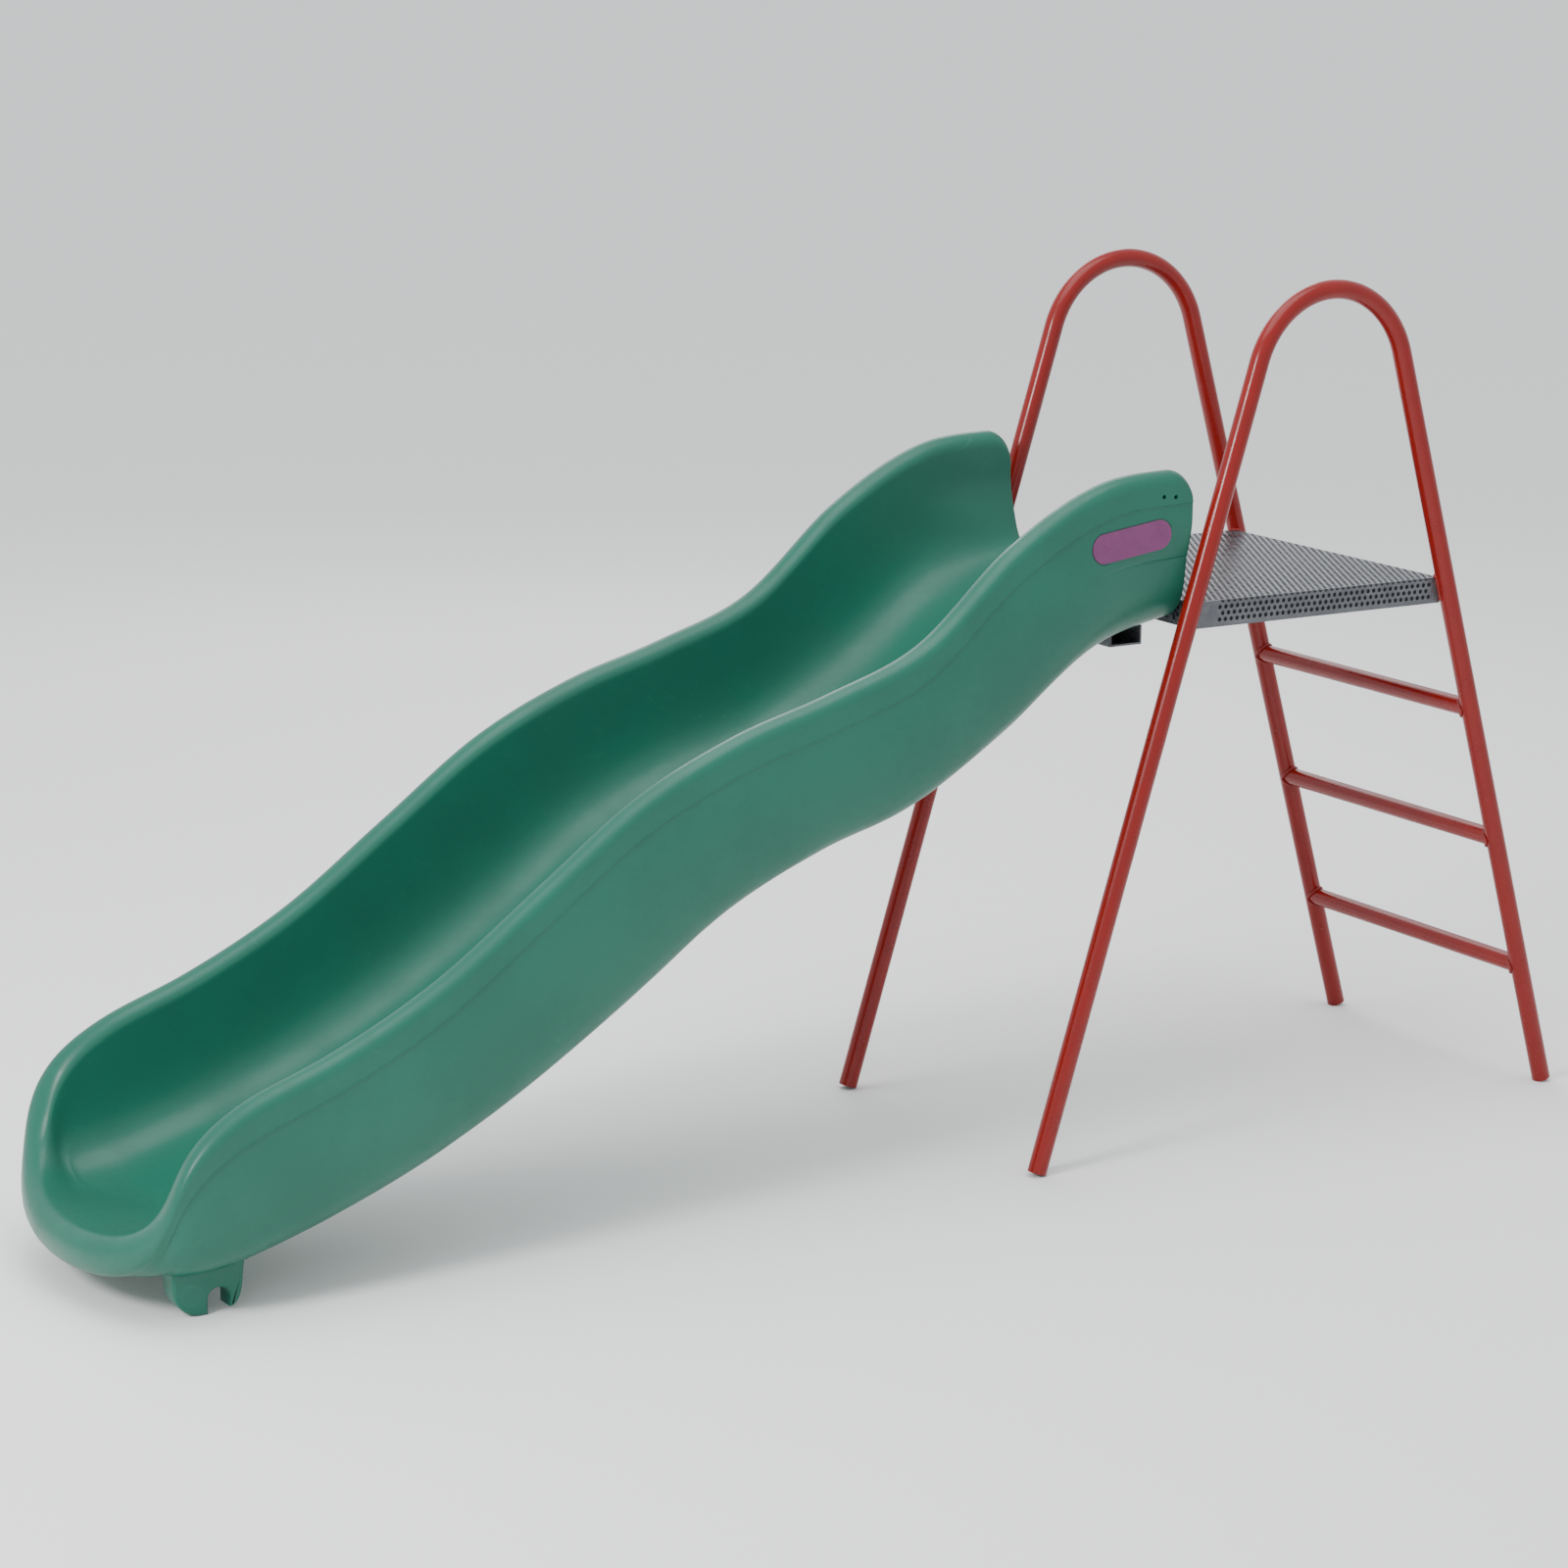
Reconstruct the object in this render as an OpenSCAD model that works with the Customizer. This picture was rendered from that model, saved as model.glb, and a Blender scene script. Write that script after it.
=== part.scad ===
// Wave slide: a hollow moulded chute hung on a welded tube frame with a
// perforated standing deck and a three-rung ladder.
// The chute runs along X and its exit points to -X. The ladder is at +X.
// The origin is on the ground, under the middle of the overall box.

/* [Ladder frame] */
// Outside diameter of the frame tube
tube_d = 38; // [38:1:48]
// Wall of the frame tube
tube_wall = 2.5; // [1.5:0.1:4]
// Distance between the front and rear tube ends at the ground
foot_spread = 1300; // [1000:10:1600]
// Distance between the centre planes of the two hoops
hoop_spacing = 670; // [560:5:840]
// Overall height of the hoops
hoop_h = 1702; // [1500:1:2100]
// Bend radius of the hoop tops, at the tube's centre line
bend_r = 185; // [120:1:220]
// Outside diameter of the rungs
rung_d = 37; // [25:1:37]
// Height of the first rung
first_rung_z = 260; // [200:5:320]
// Step from one rung to the next
rung_pitch = 280; // [220:5:300]
// Leg of the fillet weld at each tube joint
weld_leg = 5; // [3:0.5:7]

/* [Deck] */
// Height of the deck's top face
deck_z = 1095; // [900:5:1250]
// Length of the deck along the slide
deck_len = 620; // [520:5:700]
// Distance the deck's side skirts lie inside the hoops' centre planes
deck_inset = 5; // [0:1:12]
// Depth of the folded skirts
skirt_h = 50; // [40:1:70]
// Thickness of the deck sheet
sheet_t = 3; // [2:0.5:4]
// Width of the stiffening channel under the deck
rib_w = 60; // [40:1:100]
// Depth of the stiffening channel
rib_h = 25; // [15:1:35]

/* [Slide] */
// Length of the chute from its back end to where the exit rim turns down
slide_run = 2012; // [1700:1:2400]
// Distance the exit lip reaches beyond the turn
lip_reach = 177; // [150:1:210]
// Overall width of the chute
slide_w = 660; // [560:5:720]
// Diameter of the rolled rim along the walls
rim_d = 56; // [48:1:64]
// Diameter of the rolled lip at the exit
lip_d = 76; // [66:1:84]
// Height of the chute floor at the exit
exit_z = 118; // [105:1:140]
// Thickness of the double floor
floor_t = 50; // [44:1:60]
// Thickness of each moulded skin
skin_t = 5; // [4:0.5:7]
// Height of the chute floor above the deck at the back end
floor_step = 1; // [0:1:8]
// Gap between the chute's back end and the deck's front skirt
end_gap = 8; // [7:1:14]
// Radius of the rim's top corner at the back end
corner_r = 50; // [30:1:80]

/* [Exit feet] */
// Length of an exit foot along the slide
foot_len = 134; // [110:1:160]
// Thickness of an exit foot
foot_t = 46; // [36:1:56]
// Diameter of the ground bar that the notch straddles
bar_d = 38; // [30:1:42]
// Running room between the ground bar and the notch
bar_room = 1.5; // [0.5:0.5:3]
// Height of the notch
notch_h = 46; // [40:1:50]

/* [Hanger] */
// Width of the hanger channel along the slide
channel_w = 76; // [70:1:100]
// Depth of the hanger channel at its rear wall
channel_h = 38; // [34:1:46]
// Length of the hanger channel across the slide
channel_len = 440; // [380:5:460]
// Thickness of the hanger channel
channel_t = 4; // [3:0.5:5]
// Thickness of the link bracket
link_t = 5; // [4:0.5:8]
// Width of the link bracket
link_w = 100; // [90:1:160]
// Thread diameter of the bolts
bolt_d = 8; // [6:1:8]

/* [Nameplate] */
// Length of the nameplate
plate_len = 186; // [150:1:200]
// Width of the nameplate
plate_w = 58; // [44:1:64]
// Thickness of the nameplate
plate_t = 2; // [1.5:0.5:3]

/* [Hidden] */

NEAR = -1;
FAR = 1;
// Room between the hanger channel and the chute's belly
belly_room = 0.3;
// Room around a bolt in its hole
bolt_room = 0.5;
// Longer than any wall that a hole goes through
through = 200;

// Frame: each leg is the tangent from its foot to the bend at the top of the hoop.
tube_r = tube_d / 2;
foot_x = foot_spread / 2;
hoop_y = hoop_spacing / 2;
bend_z = hoop_h - tube_r - bend_r;
foot_reach = sqrt(foot_x * foot_x + bend_z * bend_z);
lean = atan2(foot_x, bend_z) - asin(bend_r / foot_reach);
leg_len = sqrt(foot_reach * foot_reach - bend_r * bend_r);
// The legs are cut square, so each starts where its low edge touches the ground
leg_cut = tube_r * tan(lean);
joint_line = 0.02;
function leg_x(z) = foot_x - z * tan(lean);

// Welds: thickness at the thin edge, and how far around the leg they wrap, as a share of its radius
weld_start = 1;
weld_wrap = 0.7;

// Deck
deck_w = hoop_spacing - 2 * deck_inset;
deck_bottom = deck_z - skirt_h;

// Chute, measured from the middle of the frame
back_x = -deck_len / 2 - end_gap;
turn_x = back_x - slide_run;
nose_x = turn_x - lip_reach - lip_d / 2;
rim_r = rim_d / 2;
lip_r = lip_d / 2;
rim_y = slide_w / 2 - rim_r;
floor_top_z = deck_z + floor_step;
// How far the walls' lower back corners are set forward, and over what length that fades out
leg_room = 22;
setback = leg_x(deck_z) + tube_r / cos(lean) + leg_room + back_x;
setback_len = 220;
// Floor height at equal stations from the back end to the turn, as a share of the whole drop
floor_line = [1, 0.943, 0.794, 0.679, 0.615, 0.522, 0.378, 0.248, 0.142, 0.062, 0];
// Height of the rim above the floor at the same stations
wall_line = [260, 296, 338, 284, 271, 303, 353, 339, 301, 278, 268];
// The rim's turn at the exit: shares of the lip's reach, of the half width and of the drop
turn_line = [[0, 1, 1], [0.50, 1, 0.70], [0.62, 0.93, 0.30], [0.84, 0.62, 0.05], [1, 0, 0]];
stations = 30;
corner_stations = 4;
turn_steps = 8;
skin_steps = 7;
roll_steps = 6;
half_steps = 2 * skin_steps + roll_steps;
wall_middle = half_steps / 2;
ring_n = 2 * half_steps;
fan_n = 2 * turn_steps;
// How far each curved skin reaches towards the corner of its section
floor_pull = 0.95;
belly_pull = 1.05;
wall_pull = 0.9;
lip_pull = 0.4;
// How much of that reach the flat lip gives up
tip_ease = 0.6;
// Height of the lip's crown above the floor
lip_rise = 7;

// The overall box is centred on the origin
shift_x = -(nose_x + foot_x + tube_r * cos(lean)) / 2;

// Fasteners
head_d = 1.75 * bolt_d;
head_h = 5;
washer_d = 2 * bolt_d;
washer_t = 1.6;
nut_d = 1.85 * bolt_d;
nut_h = 6.5;
thread_end = 2;

// Exit feet: the notch lies off the foot's middle, towards the ladder
foot_y = 228;
foot_ahead = 24;
notch_offset = 20;
foot_mid_x = turn_x - foot_ahead;
notch_x = foot_mid_x + notch_offset;
notch_r = bar_d / 2 + bar_room;
heel_h = 60;
heel_w = 52;
toe_w = 22;
toe_rise = 8;
foot_top_z = exit_z - floor_t / 2;
foot_screw_z = notch_h + head_h;
// Height of the insert above the belly
foot_insert_lift = 16;
foot_insert_z = exit_z - floor_t + foot_insert_lift;

// Threaded inserts sit in solid bosses between the two skins
insert_d = 18;
insert_h = 24;
insert_end = 2;
boss_d = 32;
boss_sink = 2;

// Hanger
channel_setback = 32;
channel_rear_x = back_x - channel_setback;
channel_front_x = channel_rear_x - channel_w;
channel_mid_x = channel_rear_x - channel_w / 2;
channel_z = belly_z(channel_rear_x) - channel_h;
hanger_y = 165;
hanger_insert_lift = 3;
hanger_insert_z = belly_z(channel_mid_x) + hanger_insert_lift;
spacer_d = 16;
link_x = -deck_len / 2 + sheet_t;
link_bolt_y = link_w / 4;
link_bolt_rise = 24;
link_bolt_z = deck_bottom + link_bolt_rise;
link_toe = 22;
// Room between the link bracket and the deck's underside
link_room = 3;

// Nameplate in its recess in the near wall
plate_from_end = 143;
plate_rise = 130;
plate_x = back_x - plate_from_end;
plate_z = deck_z + plate_rise;
plate_tilt = 8;
recess_depth = plate_t + 0.5;
recess_rim = 2;
rivet_d = 4;
rivet_head_d = 9;
rivet_head_h = 1.5;
rivet_reach = 9;

$fn = 48;

module placed() { translate([shift_x, 0, 0]) children(); }

// ---------- curves ----------

// A smooth curve through a list: u runs from 0 to the last index
function smooth(list, u) =
    let (last = len(list) - 1)
    let (i = min(floor(u), last - 1))
    let (t = u - i)
    let (b = list[i], c = list[i + 1])
    let (a = i > 0 ? list[i - 1] : 2 * b - c)
    let (d = i < last - 1 ? list[i + 2] : 2 * c - b)
    (2 * b + (c - a) * t + (2 * a - 5 * b + 4 * c - d) * t * t
        + (3 * b - a - 3 * c + d) * t * t * t) / 2;

function station_at(x) = (back_x - x) / slide_run * (len(floor_line) - 1);
function floor_z(x) = exit_z + (floor_top_z - exit_z) * smooth(floor_line, station_at(x));
function belly_z(x) = floor_z(x) - floor_t;

// The rim rounds off over the last stretch before the back end
function corner_drop(x) =
    let (from_end = min(back_x - x, corner_r))
    corner_r - sqrt(corner_r * corner_r - (corner_r - from_end) * (corner_r - from_end));
function rim_z(x) = floor_z(x) + smooth(wall_line, station_at(x)) - corner_drop(x);

// A curve from a to d that leaves along b and arrives along c
function bend_point(a, b, c, d, t) =
    let (s = 1 - t)
    a * s * s * s + 3 * b * s * s * t + 3 * c * s * t * t + d * t * t * t;

// Half a section from the floor's middle over the rolled rim to the belly's middle.
// reach and rim are the roll's centre; tip is 0 on an upright wall and 1 on the flat lip.
function half_section(reach, rim, roll_r, floor_at, belly_at, tip) =
    let (inner = 180 - 90 * tip)
    let (outer = -90 * tip)
    let (in_end = [reach + roll_r * cos(inner), rim + roll_r * sin(inner)])
    let (out_end = [reach + roll_r * cos(outer), rim + roll_r * sin(outer)])
    let (ease = 1 - tip_ease * tip)
    let (in_pull = floor_pull * ease)
    let (out_pull = belly_pull * ease)
    let (in_rise = in_end[1] - floor_at)
    let (out_drop = out_end[1] - belly_at)
    concat(
        [for (j = [0:skin_steps - 1])
            bend_point(
                [0, floor_at],
                [in_end[0] * in_pull, floor_at],
                in_end - [sin(inner) * in_end[0], -cos(inner) * in_rise] * wall_pull * ease,
                in_end, j / skin_steps)],
        [for (j = [0:roll_steps])
            let (a = inner + (outer - inner) * j / roll_steps)
            [reach + roll_r * cos(a), rim + roll_r * sin(a)]],
        [for (j = [1:skin_steps])
            bend_point(
                out_end,
                out_end - [-sin(outer) * out_end[0] * lip_pull, cos(outer) * out_drop * out_pull],
                [out_end[0] * out_pull, belly_at],
                [0, belly_at], j / skin_steps)]
    );

// ---------- chute solid ----------

// inset moves every skin inwards, which gives the hollow inside the double wall
function ring_xs(inset) =
    concat(
        [for (i = [0:corner_stations - 1]) back_x - inset - corner_r * (1 - cos(90 * i / corner_stations))],
        [for (i = [0:stations]) back_x - inset - corner_r - (slide_run - inset - corner_r) * i / stations]
    );

// The walls' lower corners are set forward near the back end, so that they pass the leaning legs
function leg_setback(x, y, z) =
    let (near_end = max(0, 1 - (back_x - x) / setback_len))
    setback * near_end * near_end
        * pow((floor_top_z + wall_line[0] - z) / wall_line[0], 4) * pow(y / rim_y, 4);

function ring(x, inset) =
    let (half = half_section(rim_y, rim_z(x + inset) - rim_r, rim_r - inset,
        floor_z(x) - inset, belly_z(x) + inset, 0))
    [for (m = [0:ring_n - 1])
        let (side = m <= half_steps ? NEAR : FAR)
        let (p = half[m <= half_steps ? m : ring_n - m])
        [x - leg_setback(x, p[0], p[1]), side * p[0], p[1]]];

// Rim centre along the exit turn: k runs from the near wall to the far wall
function turn_point(k) =
    let (half = min(k, fan_n - k))
    let (p = smooth(turn_line, half / turn_steps * (len(turn_line) - 1)))
    let (top = rim_z(turn_x) - rim_r)
    let (low = exit_z + lip_rise - lip_r)
    [-lip_reach * p[0], (k < turn_steps ? NEAR : FAR) * rim_y * p[1], low + (top - low) * p[2]];

function fan_line(k, inset) =
    let (p = turn_point(k))
    let (reach = norm([p[0], p[1]]))
    let (share = 1 - (p[2] - turn_point(turn_steps)[2]) / (turn_point(0)[2] - turn_point(turn_steps)[2]))
    let (tip = pow(share, 3))
    let (half = half_section(reach, p[2], rim_r + (lip_r - rim_r) * share - inset,
        floor_z(turn_x) - inset, belly_z(turn_x) + inset, tip))
    [for (j = [1:half_steps - 1])
        let (out = half[j][0] / reach)
        [turn_x + out * p[0], out * p[1], half[j][1]]];

// Adds both triangles of a four-sided patch
function patch(a, b, c, d) = [[a, b, c], [a, c, d]];

// Points of the chute's surface: rings along the run, then the lines of the exit scoop
function surface_points(inset) = concat(
    [for (x = ring_xs(inset)) each ring(x, inset)],
    [for (k = [1:fan_n - 1]) each fan_line(k, inset)]
);

last_ring = (corner_stations + stations) * ring_n;
surface_count = last_ring + ring_n + (fan_n - 1) * (half_steps - 1);

// Where point j of scoop line k stands in the list
function scoop_index(k, j) =
    j == 0 ? last_ring :
    j == half_steps ? last_ring + half_steps :
    k == 0 ? last_ring + j :
    k == fan_n ? last_ring + ring_n - j :
    last_ring + ring_n + (k - 1) * (half_steps - 1) + j - 1;

surface_faces = concat(
    [for (i = [0:ring_n:last_ring - 1], m = [0:ring_n - 1])
        let (n = (m + 1) % ring_n)
        each patch(i + m, i + n, i + ring_n + n, i + ring_n + m)],
    [for (k = [0:fan_n - 1], j = [1:half_steps - 2])
        each patch(
            scoop_index(k, j), scoop_index(k, j + 1),
            scoop_index(k + 1, j + 1), scoop_index(k + 1, j))],
    [for (k = [0:fan_n - 1])
        each [[last_ring, scoop_index(k, 1), scoop_index(k + 1, 1)],
            [last_ring + half_steps, scoop_index(k + 1, half_steps - 1), scoop_index(k, half_steps - 1)]]],
    [for (j = [0:wall_middle - 2])
        each concat(
            patch(half_steps - j, half_steps - j - 1, j + 1, j),
            patch((ring_n - j) % ring_n, ring_n - j - 1, half_steps + j + 1, half_steps + j))],
    [[wall_middle + 1, wall_middle, wall_middle - 1],
        [half_steps + wall_middle + 1, half_steps + wall_middle, half_steps + wall_middle - 1]]
);

module chute_solid() { polyhedron(surface_points(0), surface_faces, convexity = 8); }

// The double wall: the outer surface and the hollow's surface in one solid
module chute_shell() {
    polyhedron(
        concat(surface_points(0), surface_points(skin_t)),
        concat(surface_faces, [for (f = surface_faces)
            [for (i = [len(f) - 1:-1:0]) f[i] + surface_count]]),
        convexity = 8);
}

// ---------- shared shapes ----------

// A bolt along +Z: the head lies below z = 0 and the shank runs up
module bolt(len) {
    translate([0, 0, -head_h]) cylinder(d = head_d, h = head_h);
    cylinder(d = bolt_d, h = len);
}

module ring_plate(outer_d, inner_d, h) {
    difference() {
        cylinder(d = outer_d, h = h);
        translate([0, 0, -1]) cylinder(d = inner_d, h = h + 2);
    }
}

module washer() { ring_plate(washer_d, bolt_d + bolt_room, washer_t); }

module nut() {
    difference() {
        cylinder(d = nut_d, h = nut_h, $fn = 6);
        translate([0, 0, -1]) cylinder(d = bolt_d, h = nut_h + 2);
    }
}

module insert() {
    difference() {
        cylinder(d = insert_d, h = insert_h);
        translate([0, 0, -1]) cylinder(d = bolt_d, h = insert_h - insert_end + 1);
    }
}

module bolt_hole() { translate([0, 0, -through]) cylinder(d = bolt_d + bolt_room, h = 2 * through); }

// A rectangle with round ends
module obround(len, w) {
    square([len - w, w], center = true);
    for (end = [-1, 1]) translate([end * (len - w) / 2, 0]) circle(d = w);
}

// ---------- places ----------

module both_sides(y) { for (side = [NEAR, FAR]) translate([0, side * y, 0]) children(); }

module at_hanger(z) { both_sides(hanger_y) translate([channel_mid_x, 0, z]) children(); }

module at_foot_screws(z) { both_sides(foot_y) translate([notch_x, 0, z]) children(); }

module at_link_foot(z) { both_sides(link_bolt_y) translate([channel_mid_x, 0, z]) children(); }

// Along the bolts through the deck's front skirt, pointing to +X
module at_link_upright(x) {
    both_sides(link_bolt_y) translate([x, 0, link_bolt_z]) rotate([0, 90, 0]) children();
}

// On the floor of the nameplate's recess, pointing out of the wall
module at_nameplate() {
    translate([plate_x, -slide_w / 2 + recess_depth, plate_z]) rotate([90, 0, 0]) rotate([0, 0, plate_tilt])
        children();
}

module at_rivets() { for (end = [-1, 1]) translate([end * (plate_len - plate_w) / 2, 0, 0]) children(); }

// Along a leg's axis from the ground: end is 1 at the ladder and -1 at the slide
module along_leg(end, side) {
    translate([end * foot_x, side * hoop_y, 0]) rotate([0, -end * lean, 0]) children();
}

// ---------- slide ----------

module slide_body() {
    color("seagreen") placed() difference() {
        union() {
            chute_shell();
            at_hanger(hanger_insert_z + boss_sink)
                cylinder(d = boss_d, h = floor_t - skin_t - 2 * boss_sink);
            at_foot_screws(foot_insert_z - boss_sink) cylinder(d = boss_d, h = exit_z - foot_insert_z);
        }
        at_hanger(channel_z) cylinder(d = insert_d, h = hanger_insert_z + insert_h - channel_z);
        at_foot_screws(0) cylinder(d = insert_d, h = foot_insert_z + insert_h);
        at_nameplate() {
            linear_extrude(through) obround(plate_len + 2 * recess_rim, plate_w + 2 * recess_rim);
            at_rivets() translate([0, 0, -through]) cylinder(d = rivet_d, h = through + 1);
        }
    }
}

// Side view of a foot: a long heel with a flat sole, a raised toe, and the notch between
module foot_outline() {
    difference() {
        polygon(concat(
            [[foot_mid_x + foot_len / 2, foot_top_z], [foot_mid_x - foot_len / 2, foot_top_z]],
            [for (a = [0:15:90])
                [foot_mid_x - foot_len / 2 + heel_w * (1 - cos(a)), heel_h * (1 - sin(a))]],
            [[notch_x, 0]],
            [for (a = [90:-15:0])
                [foot_mid_x + foot_len / 2 - toe_w * (1 - cos(a)), heel_h - (heel_h - toe_rise) * sin(a)]]
        ));
        translate([notch_x, notch_h - notch_r]) circle(r = notch_r);
        translate([notch_x - notch_r, -1]) square([2 * notch_r, notch_h - notch_r + 1]);
    }
}

module exit_foot(side) {
    color("seagreen") placed() difference() {
        translate([0, side * foot_y + foot_t / 2, 0])
            rotate([90, 0, 0]) linear_extrude(foot_t) foot_outline();
        chute_solid();
        translate([notch_x, side * foot_y, 0]) {
            cylinder(d = bolt_d + bolt_room, h = through);
            cylinder(d = head_d + bolt_room, h = foot_screw_z);
        }
    }
}

module near_exit_foot() { exit_foot(NEAR); }

module far_exit_foot() { exit_foot(FAR); }

module foot_screws() {
    color("silver") placed() at_foot_screws(foot_screw_z)
        bolt(foot_insert_z + insert_h - insert_end - thread_end - foot_screw_z);
}

module foot_inserts() { color("goldenrod") placed() at_foot_screws(foot_insert_z) insert(); }

module nameplate() {
    color("mediumorchid") placed() at_nameplate() difference() {
        linear_extrude(plate_t) obround(plate_len, plate_w);
        at_rivets() translate([0, 0, -1]) cylinder(d = rivet_d, h = plate_t + 2);
    }
}

module plate_rivets() {
    color("silver") placed() at_nameplate() at_rivets() {
        translate([0, 0, plate_t]) cylinder(d = rivet_head_d, h = rivet_head_h);
        translate([0, 0, plate_t - rivet_reach]) cylinder(d = rivet_d, h = rivet_reach);
    }
}

// ---------- hanger under the chute's back end ----------

// The channel's two upright walls end just below the sloping belly
module channel_outline() {
    inner_rear = channel_rear_x - channel_t;
    inner_front = channel_front_x + channel_t;
    polygon([
        [channel_front_x, channel_z], [channel_rear_x, channel_z],
        [channel_rear_x, belly_z(channel_rear_x) - belly_room],
        [inner_rear, belly_z(inner_rear) - belly_room],
        [inner_rear, channel_z + channel_t], [inner_front, channel_z + channel_t],
        [inner_front, belly_z(inner_front) - belly_room],
        [channel_front_x, belly_z(channel_front_x) - belly_room],
    ]);
}

module hanger_channel() {
    color("dimgray") placed() difference() {
        rotate([90, 0, 0]) linear_extrude(channel_len, center = true) channel_outline();
        at_hanger(channel_z) bolt_hole();
        at_link_foot(channel_z) bolt_hole();
    }
}

module hanger_spacers() {
    color("silver") placed() at_hanger(channel_z + channel_t)
        ring_plate(spacer_d, bolt_d + bolt_room, hanger_insert_z - channel_z - channel_t);
}

module hanger_bolts() {
    color("silver") placed() at_hanger(channel_z - washer_t)
        bolt(hanger_insert_z + insert_h - insert_end - thread_end - channel_z + washer_t);
}

module hanger_washers() { color("lightgray") placed() at_hanger(channel_z - washer_t) washer(); }

module hanger_inserts() { color("goldenrod") placed() at_hanger(hanger_insert_z) insert(); }

module link_bracket() {
    foot_from = channel_mid_x - link_toe;
    color("slategray") placed() difference() {
        union() {
            translate([link_x, -link_w / 2, channel_z - link_t])
                cube([link_t, link_w, deck_z - sheet_t - link_room - channel_z + link_t]);
            translate([foot_from, -link_w / 2, channel_z - link_t])
                cube([link_x + link_t - foot_from, link_w, link_t]);
        }
        at_link_foot(channel_z) bolt_hole();
        at_link_upright(link_x) bolt_hole();
    }
}

module link_bolts() {
    color("silver") placed() {
        at_link_foot(channel_z - link_t) bolt(link_t + channel_t + washer_t + nut_h + thread_end);
        at_link_upright(link_x - sheet_t) bolt(sheet_t + link_t + washer_t + nut_h + thread_end);
    }
}

module link_washers() {
    color("lightgray") placed() {
        at_link_foot(channel_z + channel_t) washer();
        at_link_upright(link_x + link_t) washer();
    }
}

module link_nuts() {
    color("gray") placed() {
        at_link_foot(channel_z + channel_t + washer_t) nut();
        at_link_upright(link_x + link_t + washer_t) nut();
    }
}

// ---------- ladder frame ----------

// Two straight legs and the half-round bend between them, parted by a joint line at the tangents
module hoop(side) {
    color("firebrick") placed() {
        for (end = [-1, 1]) along_leg(end, side)
            translate([0, 0, leg_cut])
                ring_plate(tube_d, tube_d - 2 * tube_wall, leg_len - leg_cut - joint_line);
        translate([0, side * hoop_y, bend_z]) rotate([90, 0, 0]) rotate([0, 0, lean])
            rotate_extrude(angle = 180 - 2 * lean) translate([bend_r, 0]) difference() {
                circle(d = tube_d);
                circle(d = tube_d - 2 * tube_wall);
            }
    }
}

module near_hoop() { hoop(NEAR); }

module far_hoop() { hoop(FAR); }

module ladder_legs(r) { for (side = [NEAR, FAR]) along_leg(1, side) cylinder(r = r, h = leg_len); }

// A rung's axis across the frame
module across(z, len) {
    translate([leg_x(z), 0, z]) rotate([90, 0, 0]) translate([0, 0, -len / 2]) children();
}

// Each rung is coped to the legs that it is welded to
module rung(z) {
    color("firebrick") placed() difference() {
        across(z, hoop_spacing) ring_plate(rung_d, rung_d - 2 * tube_wall, hoop_spacing);
        ladder_legs(tube_r);
    }
}

module rung_bottom() { rung(first_rung_z); }

module rung_middle() { rung(first_rung_z + rung_pitch); }

module rung_top() { rung(first_rung_z + 2 * rung_pitch); }

// A sloping ring of weld around each end of each rung, coped to its leg
module rung_welds() {
    rung_r = rung_d / 2;
    color("darkred") placed() for (step = [0:2], side = [NEAR, FAR]) {
        z = first_rung_z + step * rung_pitch;
        difference() {
            translate([leg_x(z), side * (hoop_y - tube_r - weld_leg), z]) rotate([-side * 90, 0, 0])
                cylinder(
                    r1 = rung_r + weld_start, r2 = rung_r + weld_leg, h = weld_leg + weld_wrap * tube_r);
            across(z, hoop_spacing) cylinder(d = rung_d, h = hoop_spacing);
            along_leg(1, side) cylinder(r = tube_r, h = leg_len);
        }
    }
}

// ---------- deck ----------

module all_legs(r) {
    for (side = [NEAR, FAR], end = [-1, 1]) along_leg(end, side) cylinder(r = r, h = leg_len);
}

module deck_block(grow, h) {
    translate([-deck_len / 2 - grow, -deck_w / 2 - grow, deck_bottom])
        cube([deck_len + 2 * grow, deck_w + 2 * grow, h]);
}

// A tray of folded sheet, open below, whose corners are cut around the four legs
module deck_tray() {
    color("dimgray") placed() difference() {
        deck_block(0, skirt_h);
        translate([0, 0, -sheet_t]) deck_block(-sheet_t, skirt_h);
        all_legs(tube_r);
        at_link_upright(link_x) bolt_hole();
    }
}

module deck_rib() {
    rib_len = deck_w - 2 * sheet_t;
    color("dimgray") placed() translate([0, 0, deck_z - sheet_t - rib_h / 2]) difference() {
        cube([rib_w, rib_len, rib_h], center = true);
        translate([0, 0, sheet_t]) cube([rib_w - 2 * sheet_t, rib_len + 2, rib_h], center = true);
    }
}

module deck_welds() {
    color("darkred") placed() difference() {
        intersection() {
            all_legs(tube_r + weld_leg);
            deck_block(weld_leg, skirt_h);
        }
        deck_block(0, skirt_h);
        all_legs(tube_r);
    }
}

slide_body();
near_exit_foot();
far_exit_foot();
foot_screws();
foot_inserts();
nameplate();
plate_rivets();
hanger_channel();
hanger_spacers();
hanger_bolts();
hanger_washers();
hanger_inserts();
link_bracket();
link_bolts();
link_washers();
link_nuts();
near_hoop();
far_hoop();
rung_bottom();
rung_middle();
rung_top();
rung_welds();
deck_tray();
deck_rib();
deck_welds();
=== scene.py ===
"""Wave slide: a moulded chute hung on a tube frame with a perforated deck and a rung ladder.

Every length is in metres in the shared frame: the origin on the ground under the middle of the
overall box, +X from the slide's exit to the ladder and +Z up. Each sub-assembly is a class whose
fields hold its sizes, with methods that work out its surfaces and dress them.
"""

import logging
import math
from dataclasses import dataclass, field
from enum import Enum

import bpy
import numpy as np
from mathutils import Matrix
from mathutils.geometry import delaunay_2d_cdt


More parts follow.
